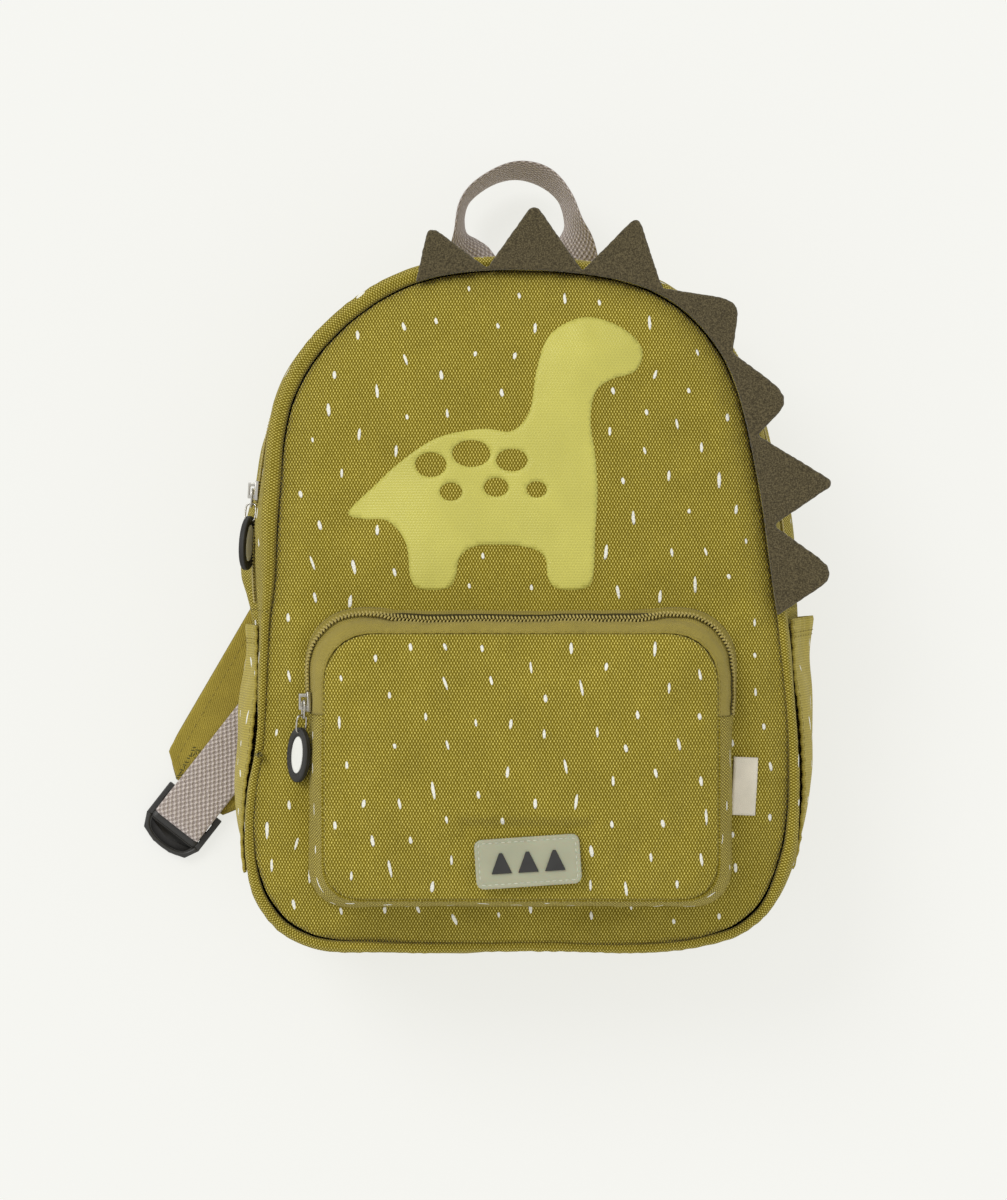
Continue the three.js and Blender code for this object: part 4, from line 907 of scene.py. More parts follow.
def ridge_of_shell():
    """The rolled edge's highest line, round from the bag's foot, with the ways out from it."""
    walls = tree_of(*SHELL_NODES)
    front = from_foot(outline_from_above("front_panel", STATION, 5))
    out = unit(sideways(front))
    offsets = np.arange(-1.5, 13, 0.5) * MM
    best = np.zeros((len(front), 2))
    for k, (place, way) in enumerate(zip(front, out)):
        hits = [top_at(walls, *(place + way * off))[0] for off in offsets]
        levels = [0.0 if hit is None else hit.z for hit in hits]
        top = max(levels)
        high = [off for off, level in zip(offsets, levels) if level > top - 0.3 * MM]
        best[k] = (sum(high) / len(high), top)
    best = smooth_rows(best, 4)
    ridge = front + out * best[:, :1]
    return ridge, unit(smooth_rows(unit(sideways(ridge)), 3)), best[:, 1]


def zip_band():
    low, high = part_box("main_zip")
    return low.z - 0.35 * MM, high.z + 0.35 * MM


def side_profile():
    """The shell's ridge, and its offset out from there and level, station by station, row by row."""
    walls = tree_of(*SHELL_NODES, "main_zip")
    ridge, out, tops = ridge_of_shell()
    zip_low, zip_high = zip_band()
    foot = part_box("side_wall_lower")[0].z + 0.5 * MM
    offs, levels = [], []
    for place, way, top in zip(ridge, out, tops):
        way3, core = Vector((*way, 0)), Vector((*place, top - ROLL_CORE))
        off_row, z_row = [], []
        for angle in FAN:
            ray = way3 * math.cos(angle) + UP * math.sin(angle)
            hit = walls.ray_cast(core + ray * 0.03, -ray, 0.0299)[0]
            hit = core + ray * ROLL_CORE if hit is None else hit
            off_row.append((hit - core).dot(way3))
            z_row.append(hit.z)
        steps = [
            *np.linspace(core.z - 1.2 * MM, zip_high, FRONT_ROWS),
            *np.linspace(zip_high, zip_low, ZIP_ROWS + 2)[1:-1],
            *np.linspace(zip_low, foot, BACK_ROWS),
        ]
        for z in steps:
            off = offset_in(walls, place, way, z)
            off_row.append(off_row[-1] if off is None else off)
            z_row.append(z)
        offs.append(off_row + [off_row[-1] - tuck * MM for tuck, _ in TUCKS])
        levels.append(z_row + [foot - drop * MM for _, drop in TUCKS])
    return ridge, out, smooth_rows(offs, 4), smooth_rows(levels, 4)


RIDGE, RIDGE_OUT, SHELL_OFF, SHELL_Z = side_profile()


def shell_points():
    """The whole shell as a grid of points, with its folds and puckers."""
    down = np.cumsum(np.hypot(np.diff(SHELL_OFF.mean(0)), np.diff(SHELL_Z.mean(0))))
    down = np.concatenate([[0.0], down])
    u, v = np.meshgrid(lengths_along(RIDGE, True)[:-1], down, indexing="ij")
    drape = waves(11, 9, 34 * MM, 90 * MM)
    crumple = waves(12, 12, 11 * MM, 30 * MM)
    roll_end = down[FAN_ROWS]
    wall = np.clip((v - roll_end) / (12 * MM), 0, 1) * np.clip((down[-4] - v) / (14 * MM), 0, 1)
    lift = (0.75 * drape(u, v) + 0.22 * crumple(u, v * 0.45)) * wall * MM
    pucker = np.sin(u / MM * TURN / 6.1 + 1.6 * drape(u, v * 0))
    edge = bell(v - roll_end - 1.5 * MM, 4.5 * MM) + bell(v - down[-5], 6 * MM)
    lift += 0.22 * MM * pucker * edge * (0.6 + 0.4 * crumple(u, v * 0))
    beside = (RIDGE[:, :1] < 0) * bell(RIDGE[:, 1:] + 38 * MM, 34 * MM) * (SHELL_Z < 0.09)
    folds = np.sin(v / MM * TURN / (11 + 60 * np.abs(RIDGE[:, 1:] + 0.07)) + 1.0)
    lift += 1.1 * MM * folds * beside * wall
    lift += 0.16 * MM * np.clip(1 - (v - roll_end) / (3 * MM), 0, 1) * crumple(u * 0.8, v)
    flat = RIDGE[:, None, :] + RIDGE_OUT[:, None, :] * SHELL_OFF[..., None]
    return Rows(closing(np.dstack([flat, SHELL_Z]))).lift(closing(lift)).points[:-1]


SHELL = shell_points()
ZIPPED = np.nonzero(RIDGE[:, 1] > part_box("side_wall_upper_front")[0].y + 1.5 * MM)[0]
ZIP_FIRST, ZIP_LAST = int(ZIPPED[0]), int(ZIPPED[-1])


def with_lip(points, edge, inner):
    """Turns the edge column of a grid in, as a folded hem is."""
    points = points.copy()
    for column, share in ((edge, 1.0), (inner, 0.15)):
        points[:, column, :2] -= RIDGE_OUT[ZIP_FIRST:ZIP_LAST + 1] * LIP * share
    return points


def make_shell():
    upper = SHELL[ZIP_FIRST:ZIP_LAST + 1]
    front = Rows(with_lip(upper[:, :ZIP_FROM + 1], -1, -2))
    back = Rows(with_lip(upper[:, ZIP_TO:], 0, 1))
    lower = Rows(np.vstack([SHELL[ZIP_LAST:], SHELL[:ZIP_FIRST + 1]]))
    for name, surface, seed, count, margin, hem in (
        ("side_wall_upper_front", front, 31, 30, 6, front.v[-1] - 2.6 * MM),
        ("side_wall_upper_back", back, 32, 48, 4, 2.6 * MM),
        ("side_wall_lower", lower, 33, 70, 6, None),
    ):
        piece = Piece()
        surface.into(piece, CLOTH_THICKNESS)
        dashes(piece, surface, (4, 4, margin, 9), 13, count, (seed, seed), 12.0)
        if hem is not None:
            stitches(piece, *surface.row(v=hem), 2)
        piece.make(name + "_cloth", [SIDE_CANVAS, WHITE_INK, THREAD], "side_canvas", name)


def make_main_zip():
    """Tape with a double row of coil teeth, in the slit between the two upper walls."""
    tree = tree_of("main_zip")
    zip_low, zip_high = zip_band()
    levels = np.linspace(zip_high + 1.2 * MM, zip_low - 1.2 * MM, 12)
    points = np.zeros((ZIP_LAST - ZIP_FIRST + 1, len(levels), 3))
    for row, k in zip(points, range(ZIP_FIRST, ZIP_LAST + 1)):
        off = SHELL_OFF[k, ZIP_FROM]
        for j, z in enumerate(levels):
            found = offset_in(tree, RIDGE[k], RIDGE_OUT[k], min(max(z, zip_low + MM), zip_high - MM))
            off = off if found is None else found
            row[j] = (*(RIDGE[k] + RIDGE_OUT[k] * off), z)
    points[..., :2] = smooth_rows(points[..., :2], 5, False)
    tape = Rows(points)
    piece = Piece()
    tape.into(piece, 0.7 * MM)
    teeth(piece, *tape.row(v=tape.v[-1] / 2), 1.5, 0.37, 1.1, 0.75, (1.6, 0.5, 0.75), 1)
    piece.make("main_zip_tape", [TAPE, COIL], "zip_tape", "main_zip")


# Cloth simulation: a coarse copy of a panel, held at its seam, grows and buckles a little
CLOTH_FRAMES = 24
CLOTH_SETTINGS = {
    "vertex_group_mass": "held", "mass": 0.15, "quality": 6, "tension_stiffness": 25,
    "compression_stiffness": 25, "shear_stiffness": 12, "bending_stiffness": 0.6, "use_pressure": True,
}


def buckled(flat, faces, loop, levels, step, grow, pressure, most):
    """Lifts for flat places, from a cloth held all round and slightly larger than its frame."""
    coarse_loop = resample(loop, step)
    spots, coarse_faces = fill(coarse_loop, step)
    surface = Draped(np.column_stack([flat, levels]), faces)
    points = np.array([surface.at(x, y)[0] for x, y in spots])
    mesh = bpy.data.meshes.new("trial")
    mesh.from_pydata(points.tolist(), [], coarse_faces.tolist())
    cloth = put("trial", mesh)
    cloth.vertex_groups.new(name="held").add(list(range(len(coarse_loop))), 1.0, "REPLACE")
    modifier = cloth.modifiers.new("cloth", "CLOTH")
    shrink = {"shrink_min": -grow, "shrink_max": -grow, "uniform_pressure_force": pressure}
    for key, value in {**CLOTH_SETTINGS, **shrink}.items():
        setattr(modifier.settings, key, value)
    modifier.settings.effector_weights.gravity = 0.0
    modifier.collision_settings.use_collision = False
    modifier.collision_settings.use_self_collision = False
    modifier.point_cache.frame_start = 1
    modifier.point_cache.frame_end = CLOTH_FRAMES
    scene = bpy.context.scene
    for number in range(1, CLOTH_FRAMES + 1):
        scene.frame_set(number)
    shaped = cloth.evaluated_get(bpy.context.evaluated_depsgraph_get()).to_mesh()
    after = fetched(shaped.vertices, "co", 3)
    scene.frame_set(1)
    bpy.data.objects.remove(cloth)
    moved = np.clip((after - points)[:, 2], -most, most)
    tree = seam_tree(spots)
    out = np.zeros(len(flat))
    for i, (x, y) in enumerate(flat):
        near = tree.find_n((x, y, 0), 7)
        weights = [math.exp(-((d / (0.75 * step)) ** 2)) for _, _, d in near]
        out[i] = sum(w * moved[j] for w, (_, j, _) in zip(weights, near)) / sum(weights)
    print("cloth", len(spots), "points, moved", round(float(np.abs(moved).max()) / MM, 2), "mm")
    return out


def groove_shut(loop):
    """How far the groove along the front seam is closed: at the bag's left middle and foot."""
    x, y = loop.T / MM
    left = (x < 0) * bell(y + 85, 46)
    right = (x > 40) * bell(y + 62, 34) * 0.7
    foot = (y < -150) * bell(x - 25, 62)
    return np.clip(left + right + foot, 0, 1)


def panel(node, step, blur, smoothing, dents, fields, pucker, sim, grow_out, under, shut_at):
    """A dressed copy of a panel that faces up: outline, level, dents, folds and puckers."""
    tree = tree_of(node)
    loop = outline_from_above(node, step, blur)
    out = unit(sideways(loop))
    flat, faces = fill(loop, step)
    ground = heights(tree, flat)
    levels = ground.copy()
    levels[:len(loop)] = heights(tree, loop - out * 0.25 * MM)
    free = np.arange(len(flat)) >= len(loop)
    for _ in range(smoothing):
        levels = levels + (means(levels[:, None], *sides_of(faces))[:, 0] - levels) * 0.5 * free
    seam = seam_tree(loop)
    nearest = [seam.find((x, y, 0))[1:] for x, y in flat]
    index, inset = [i for i, _ in nearest], np.array([d for _, d in nearest])
    s = lengths_along(loop, True)[index]
    fade = ease(inset / (10 * MM))
    x, y = flat.T
    levels = levels + buckled(flat, faces, loop, levels, *sim)
    for x0, y0, turn, long, wide, rise in dents:
        c, n = math.cos(math.radians(turn)), math.sin(math.radians(turn))
        dx, dy = x - x0 * MM, y - y0 * MM
        dent = bell(dx * c + dy * n, long * MM) * bell(dy * c - dx * n, wide * MM)
        levels = levels + rise * MM * dent * fade
    for height, *field in fields:
        levels = levels + height * MM * waves(*field)(x, y) * fade
    height, pitch, seed, reach = pucker
    wave = np.sin(s / MM * TURN / pitch + 2.2 * waves(seed, 5, 25 * MM, 60 * MM)(s, s * 0))
    levels = levels + height * MM * wave * bell(inset - 3 * MM, reach * MM) * np.clip(inset / (2 * MM), 0, 1)
    for name in under:
        low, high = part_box(name)
        beyond = np.maximum.reduce([low.x - x, x - high.x, low.y - y, y - high.y])
        covered = ease(1 - (beyond - 1.5 * MM) / (7 * MM))
        levels = levels + (np.minimum(levels, ground - 0.15 * MM) - levels) * covered
    shut = shut_at(loop)
    points = np.column_stack([flat, levels + 1.3 * MM * shut[index] * bell(inset, 4 * MM)])
    points[:len(loop), :2] += out * (grow_out + 1.5 * MM * shut)[:, None]
    return points, faces, loop


# Dents: place, turn in degrees, half length and half width, and rise, in millimetres
FRONT_DENTS = (
    (-30, 62, 50, 40, 16, 1.6), (2, 38, 118, 34, 9, -1.3), (30, 70, 60, 42, 20, 1.2), (85, 30, 95, 60, 14, -1.0),
    (-62, -5, 84, 50, 10, -1.2), (20, -20, 0, 70, 10, -1.4), (20, -160, 0, 80, 9, -0.8),
)
FRONT, FRONT_FACES, FRONT_LOOP = panel(
    "front_panel", 1.9 * MM, 5, 40, FRONT_DENTS,
    ((0.55, 21, 8, 45 * MM, 120 * MM), (0.12, 22, 12, 9 * MM, 24 * MM)), (0.28, 6.3, 23, 6),
    (6.5 * MM, 0.012, 3.0, 5 * MM), 0.5 * MM, ("label", "pocket_zip_oval"), groove_shut,
)
FRONT_CLOTH = Draped(FRONT, FRONT_FACES)

# The printed figure: a long-necked dinosaur from the side, in millimetres from the middle of
# its feet, and the spots on it: place, half width and half height
FIGURE_FEET = np.array((6.0, -17.0))
FIGURE = (
    (-64, 34), (-53, 45), (-41, 56), (-24, 67), (-4, 71), (9, 70), (17, 79), (20, 97), (26, 113), (41, 121),
    (57, 117), (67, 107), (64, 97), (53, 93), (46, 87), (44, 74), (46, 59), (47, 43), (46, 24), (45, 5),
    (41, 0), (29, 0), (25, 5), (23, 15), (12, 19), (-6, 19), (-14, 14), (-16, 5), (-20, 0), (-32, 0),
    (-36, 5), (-38, 20), (-46, 30), (-57, 31),
)
FIGURE_SPOTS = (
    (-27, 55, 7, 5.5), (-9, 60, 8.5, 6), (9, 57, 7, 5), (-18, 43, 5, 4), (2, 45, 5.5, 4.2), (20, 44, 4.5, 3.6),
)


def figure_loops():
    outline = resample((spline(FIGURE, 8) + FIGURE_FEET) * MM, 1.6 * MM)
    around = np.linspace(0, TURN, 26, endpoint=False)
    holes = [
        (np.column_stack([x + across * np.cos(around), y + up * np.sin(around)]) + FIGURE_FEET) * MM
        for x, y, across, up in FIGURE_SPOTS
    ]
    return outline, holes


def box_loop(node, margin):
    """A node's box from above, with a margin all round."""
    low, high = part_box(node)
    x0, y0, x1, y1 = low.x - margin, low.y - margin, high.x + margin, high.y + margin
    return np.array([(x0, y0), (x1, y0), (x1, y1), (x0, y1)])


def make_front():
    piece = Piece()
    piece.sheet(FRONT, FRONT_FACES, CLOTH_THICKNESS, FRONT[:, :2])
    outline, holes = figure_loops()
    flat, faces = fill(outline, 2.0 * MM, holes)
    film(piece, FRONT_CLOTH, flat, faces, 1, 0.12 * MM, 0.4 * MM)
    x, y = outline.T
    turn = 1 if np.sum(x * np.roll(y, -1) - np.roll(x, -1) * y) > 0 else -1
    figure = outline + unit(sideways(outline)) * 4.0 * MM * turn
    others = (figure, box_loop("pocket_side", -2 * MM), box_loop("label", 2 * MM))
    strokes(piece, FRONT_CLOTH, scatter_over(5, FRONT_LOOP, 5 * MM, 14.5 * MM, 170, others), 2, 6)
    piece.make("front_panel_cloth", [CANVAS, INK, WHITE_INK], "canvas", "front_panel")


# Front pocket
POCKET_STEP = 1.3 * MM
POCKET_DENTS = (
    (-30, -75, 60, 34, 10, 0.9), (60, -70, 120, 36, 12, 0.8), (20, -50, 3, 60, 8, -0.9),
    (15, -108, 10, 48, 14, 0.8), (-48, -125, 40, 24, 8, -0.8), (92, -128, 135, 24, 9, -0.9),
)
FACE, FACE_FACES, FACE_LOOP = panel(
    "pocket_face", POCKET_STEP, 3, 30, POCKET_DENTS,
    ((0.4, 41, 8, 30 * MM, 80 * MM), (0.1, 42, 12, 8 * MM, 20 * MM)), (0.24, 5.4, 43, 5),
    (5 * MM, 0.016, 2.0, 4 * MM), 0.3 * MM, ("patch",), lambda loop: np.zeros(len(loop)),
)
FACE_CLOTH = Draped(FACE, FACE_FACES)
BAND_ROWS = 22
POCKET_ZIP_ROW = 7
# How many tape rows beside the pocket coil carry painted shade
COIL_PAINTED_SHADE_ROWS = 3


def make_face():
    piece = Piece()
    piece.sheet(FACE, FACE_FACES, CLOTH_THICKNESS, FACE[:, :2])
    spots = scatter_over(7, FACE_LOOP, 4 * MM, 14 * MM, 58, (box_loop("patch", 3 * MM),))
    strokes(piece, FACE_CLOTH, spots, 1, 8)
    piece.make("pocket_face_cloth", [CANVAS, WHITE_INK], "canvas", "pocket_face")


def pocket_band():
    """The pocket's side wall as a grid, from its foot on the front panel up to its face."""
    walls, zips = tree_of("pocket_side", "pocket_zip"), tree_of("pocket_zip")
    loop = from_foot(FACE_LOOP)
    out = unit(smooth_rows(sideways(loop), 3))
    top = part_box("pocket_zip")[1].z + 0.2 * MM
    offs, levels = np.zeros((len(loop), BAND_ROWS)), np.zeros((len(loop), BAND_ROWS))
    zipped = np.zeros(len(loop), bool)
    for k, (place, way) in enumerate(zip(loop, out)):
        foot = FRONT_CLOTH.at(*(place + way * 8 * MM))[0][2] - 0.6 * MM
        last = 0.0
        for j in range(BAND_ROWS - 1, -1, -1):
            levels[k, j] = z = foot + (top - foot) * j / (BAND_ROWS - 1)
            found = offset_in(walls, place, way, min(z, top - 0.6 * MM), 0.03, 0.045)
            offs[k, j] = last = last if found is None else found
        zipped[k] = offset_in(zips, place, way, (foot + top) / 2, 0.03, 0.045) is not None
    offs, levels = smooth_rows(offs, 3), smooth_rows(levels, 3)
    along = lengths_along(loop, True)[:-1]
    u, v = np.meshgrid(along, np.linspace(0, 25 * MM, BAND_ROWS), indexing="ij")
    share = np.linspace(0, 1, BAND_ROWS)[None, :]
    bend = np.sin(math.pi * share)
    offs += 0.5 * MM * waves(51, 8, 22 * MM, 60 * MM)(u, v) * bend
    offs += 0.16 * MM * waves(52, 10, 7 * MM, 18 * MM)(u, v * 0.4) * bend
    offs += 0.15 * MM * np.sin(u / MM * TURN / 5.2) * bell(share - 0.93, 0.12)
    flare = np.clip(1 - share / 0.32, 0, 1) * 2.4 * MM
    offs += flare * smooth_rows(zipped, 3)[:, None]
    flat = loop[:, None, :] + out[:, None, :] * offs[..., None]
    on = np.nonzero(zipped)[0]
    return np.dstack([flat, levels]), int(on[0]), int(on[-1])


BAND, POCKET_ZIP_FIRST, POCKET_ZIP_LAST = pocket_band()


def make_pocket_side():
    """Canvas wall round the pocket's lower half."""
    piece = Piece()
    lower = Rows(np.vstack([BAND[POCKET_ZIP_LAST:], BAND[:POCKET_ZIP_FIRST + 1]]))
    lower.uv[:, 1] *= 0.55
    lower.into(piece, 1.5 * MM)
    dashes(piece, lower, (5, 5, 5, 5), 14, 22, (61, 62), 40.0)
    for v in (lower.v[-1] - 2.2 * MM, 2.5 * MM):
        stitches(piece, *lower.row(v=v), 2, (2.0, 0.9, 0.42))
    piece.make("pocket_side_cloth", [CANVAS, WHITE_INK, THREAD], "canvas", "pocket_side")


def make_pocket_zip():
    """Outer tape with painted shade on its rows beside the coil, a twisted-looking coil, and the broad smooth
    facing up to the face.
    """
    upper = BAND[POCKET_ZIP_FIRST:POCKET_ZIP_LAST + 1]
    tape, facing = Rows(upper[:, :POCKET_ZIP_ROW + 1]), Rows(upper[:, POCKET_ZIP_ROW:])
    share = np.linspace(0, 1, len(facing.v))[None, :]
    swell = 0.6 * MM * np.sin(math.pi * share ** 0.8) - 0.5 * MM * bell(share, 0.09)
    facing = facing.lift(swell + np.zeros((len(facing.u), 1)))
    piece = Piece()
    column = np.tile(np.arange(POCKET_ZIP_ROW), len(tape.u) - 1)
    # The tape rows next to the coil get the painted-shade material, standing in for the shadow along the coil
    tape.into(piece, 0.8 * MM, np.where(column >= POCKET_ZIP_ROW - COIL_PAINTED_SHADE_ROWS, 4, 0))
    facing.into(piece, 0.8 * MM, 1)
    coil = tape.row(v=tape.v[-1] - 0.2 * MM)
    teeth(piece, *coil, 1.62, 0.4, 0.95, 1.15, (1.25, 0.52, 0.75), 2, 0.35)
    for surface, v in ((tape, 2.4 * MM), (facing, facing.v[-1] - 1.3 * MM)):
        stitches(piece, *surface.row(v=v), 3, (1.9, 0.8, 0.4))
    piece.make("pocket_zip_tape", [TAPE, FACING, COIL, THREAD, COIL_PAINTED_SHADE], "zip_tape", "pocket_zip")


# Side pockets: thinner cloth, gathered at the hem, which is drawn in by these amounts
DRAWN_IN = {"left": 7.0 * MM, "right": 4.6 * MM}


def make_side_pocket(side):
    node, way_x = "side_pocket_" + side, -1 if side == "left" else 1
    tree = tree_of(node)
    low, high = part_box(node)

    def found(k, z):
        return offset_in(tree, RIDGE[k], RIDGE_OUT[k], z, 0.07)

    on = [k for k in range(len(RIDGE)) if RIDGE_OUT[k][0] * way_x > 0.3]
    on = [k for k in on if found(k, (low.z + high.z) / 2) is not None]
    on.sort(key=lambda k: -RIDGE[k][1])
    levels = np.linspace(high.z - 0.4 * MM, low.z + 0.4 * MM, 44)
    offs = np.array([[found(k, z) for z in levels] for k in on], float)
    for row in offs:
        good = np.nonzero(~np.isnan(row))[0]
        row[:] = np.interp(np.arange(len(levels)), good, row[good])
    offs = smooth_rows(smooth_rows(offs, 3, False).T, 1.5, False).T
    u, v = np.meshgrid(lengths_along(RIDGE[on]), levels[0] - levels, indexing="ij")
    wall = np.array([np.interp(levels, SHELL_Z[k, ::-1], SHELL_OFF[k, ::-1]) for k in on])
    draw_in = DRAWN_IN[side] * bell(u, 24 * MM) + 2.5 * MM * bell(u[-1:] - u, 20 * MM)
    offs = np.maximum(offs - draw_in, wall + 2.0 * MM)
    rim = np.minimum(v, v[0, -1] - v)
    edge = np.clip(rim / (8 * MM), 0, 1)
    offs += 0.6 * MM * waves(71, 7, 24 * MM, 60 * MM)(u, v) * edge
    gather = np.sin(v / MM * TURN / 7.5 + 1.5 * waves(72, 5, 20 * MM, 50 * MM)(v, v * 0))
    offs += 0.45 * MM * gather * bell(u, 12 * MM) * edge
    offs += 0.25 * MM * np.sin(u / MM * TURN / 5.7) * bell(rim, 5 * MM)
    offs[0] -= 0.5 * MM
    flat = RIDGE[on][:, None, :] + RIDGE_OUT[on][:, None, :] * offs[..., None]
    surface = Rows(np.dstack([flat, levels + np.zeros_like(u)]))
    piece = Piece()
    surface.into(piece, 1.2 * MM)
    dashes(piece, surface, (12, 6, 5, 5), 14, 26, (73 + way_x, 75 + way_x), 25.0)
    for u_at in (6.5 * MM, 8.5 * MM):
        stitches(piece, *surface.row(u=u_at), 2)
    for v_at in (2.0 * MM, surface.v[-1] - 2.0 * MM):
        stitches(piece, *surface.row(v=v_at), 2)
    piece.make(node + "_cloth", [POCKET_CLOTH, WHITE_INK, THREAD], "side_canvas", node)


# Ribbons: webbing, tabs and the handle, rebuilt from the sections of their nodes
END_STEPS = np.array((0.0, 0.12, 0.35, 0.7, 1.2, 1.9, 2.8)) * MM
RIBBON_COLUMNS = 14
RIBBON_STEP = 1.5 * MM


def along_curve(values, step, steps=8):
    """A smooth curve through rows whose first three numbers are a place; closer at its ends."""
    dense = spline(values, steps, closed=False)
    at = lengths_along(dense[:, :3])
    ends = END_STEPS[END_STEPS < at[-1] / 3]
    inner = np.arange(ends[-1] + step, at[-1] - ends[-1] - step / 2, step)
    marks = np.concatenate([ends, inner, at[-1] - ends[::-1]])
    return read(marks, at, dense), marks


def end_scale(marks, reach):
    """How much of its size a section keeps where a form rounds off at both ends."""
    near = np.clip(np.minimum(marks, marks[-1] - marks) / reach, 0, 1)
    return np.sqrt(1 - (1 - near) ** 2)


def ribbon(piece, node, folds):
    """Flat webbing with soft edges; returns its middle line, half width and half thickness."""
    rings = rings_of(node, 4)
    first, second = (np.linalg.norm(rings[:, k + 1] - rings[:, k], axis=1).mean() for k in (0, 1))
    if first < second:
        rings = np.roll(rings, -1, axis=1)
    wide = (rings[:, 1] - rings[:, 0] + rings[:, 2] - rings[:, 3]) / 4
    thick = (rings[:, 2] - rings[:, 1] + rings[:, 3] - rings[:, 0]) / 4
    rows, marks = along_curve(np.hstack([rings.mean(1), wide, thick]), RIBBON_STEP)
    centres, wide, thick = rows[:, :3], rows[:, 3:6], rows[:, 6:]
    share = np.sin(np.linspace(-1, 1, RIBBON_COLUMNS) * math.pi / 2)
    rise = (1 - np.abs(share) ** 6) ** 0.5 * 0.96 + 0.04
    soft = 0.55 + 0.45 * end_scale(marks, 1.2 * MM)
    bend = folds(marks, share)
    loops, uv = [], []
    for centre, w, t, mark, fold, keep in zip(centres, wide, thick, marks, bend, soft):
        middle, up = centre + share[:, None] * w + unit(t) * fold[:, None], t * (rise * keep)[:, None]
        loops.append(np.vstack([middle + up, (middle - up)[::-1]]))
        side = share * np.linalg.norm(w)
        uv.extend([(mark, v) for v in np.concatenate([side, side[::-1] + np.linalg.norm(t)])])
    stack(piece, loops, 0, np.array(uv))
    return centres, wide, thick


def handle_folds(marks, share):
    """The handle's webbing gathers lengthwise where it is sewn in at both ends."""
    near = bell(np.minimum(marks, marks[-1] - marks), 16 * MM)[:, None]
    ridge = np.sin(share[None, :] * 7.5 + 1.2 * np.sin(marks[:, None] / MM * 0.16))
    sway = waves(81, 6, 18 * MM, 50 * MM)(*np.meshgrid(marks, share * 6 * MM, indexing="ij"))
    return 0.5 * MM * ridge * near + 0.28 * MM * sway * (1 - near)


def no_folds(marks, share):
    return np.zeros((len(marks), len(share)))


def make_ribbon(node, slot, material, sewn=None, folds=no_folds):
    """One ribbon, with two lines of stitches over a stretch of its stations."""
    piece = Piece()
    centres, wide, thick = ribbon(piece, node, folds)
    if sewn:
        for side in (-0.8, 0.8):
            path = (centres + wide * side + thick * 1.02)[sewn]
            stitches(piece, path, unit(thick)[sewn], 1, (1.9, 0.8, 0.4))
    piece.make(node + "_cloth", [material, THREAD], slot, node)


def make_ribbons():
    make_ribbon("handle", "webbing", WEBBING, slice(3, 12), handle_folds)
    for side in ("left", "right"):
        make_ribbon("webbing_" + side, "webbing", WEBBING)
        make_ribbon("strap_tab_" + side, "canvas", STRAP_CLOTH, slice(3, -3))
        make_ribbon("anchor_tab_" + side, "canvas", STRAP_CLOTH, slice(3, -3))


# Shoulder straps: padded, with a piped edge, a stitched line inside it, and a cross-stitched
# square that holds the webbing's tab; lengths of the square in metres
SQUARE_LONG, SQUARE_HALF, SQUARE_ASIDE, SQUARE_STEP = 16.5 * MM, 7.5 * MM, 6.0 * MM, 1.5 * MM


def strap_square(centres, ways, across, inward, start, side):
    """Places of the square's stitches, on the level of the strap's middle line."""
    rng = random.Random(84)
    aside = SQUARE_ASIDE * (1 if across[start][0] * (1 if side == "right" else -1) > 0 else -1)
    for a in np.arange(0, 17 * MM, SQUARE_STEP):
        for b in np.arange(-SQUARE_HALF, 7.6 * MM, SQUARE_STEP):
            on_rim = min(a, SQUARE_LONG - a, b + SQUARE_HALF, SQUARE_HALF - b) < 1.2 * MM
            if on_rim or abs(abs(a - 8.2 * MM) - abs(b)) < 1.0 * MM:
                place = centres[start] + ways[start] * inward * a + across[start] * (b + aside)
                yield place + np.array([rng.uniform(-0.3, 0.3), rng.uniform(-0.3, 0.3), 0]) * MM, rng


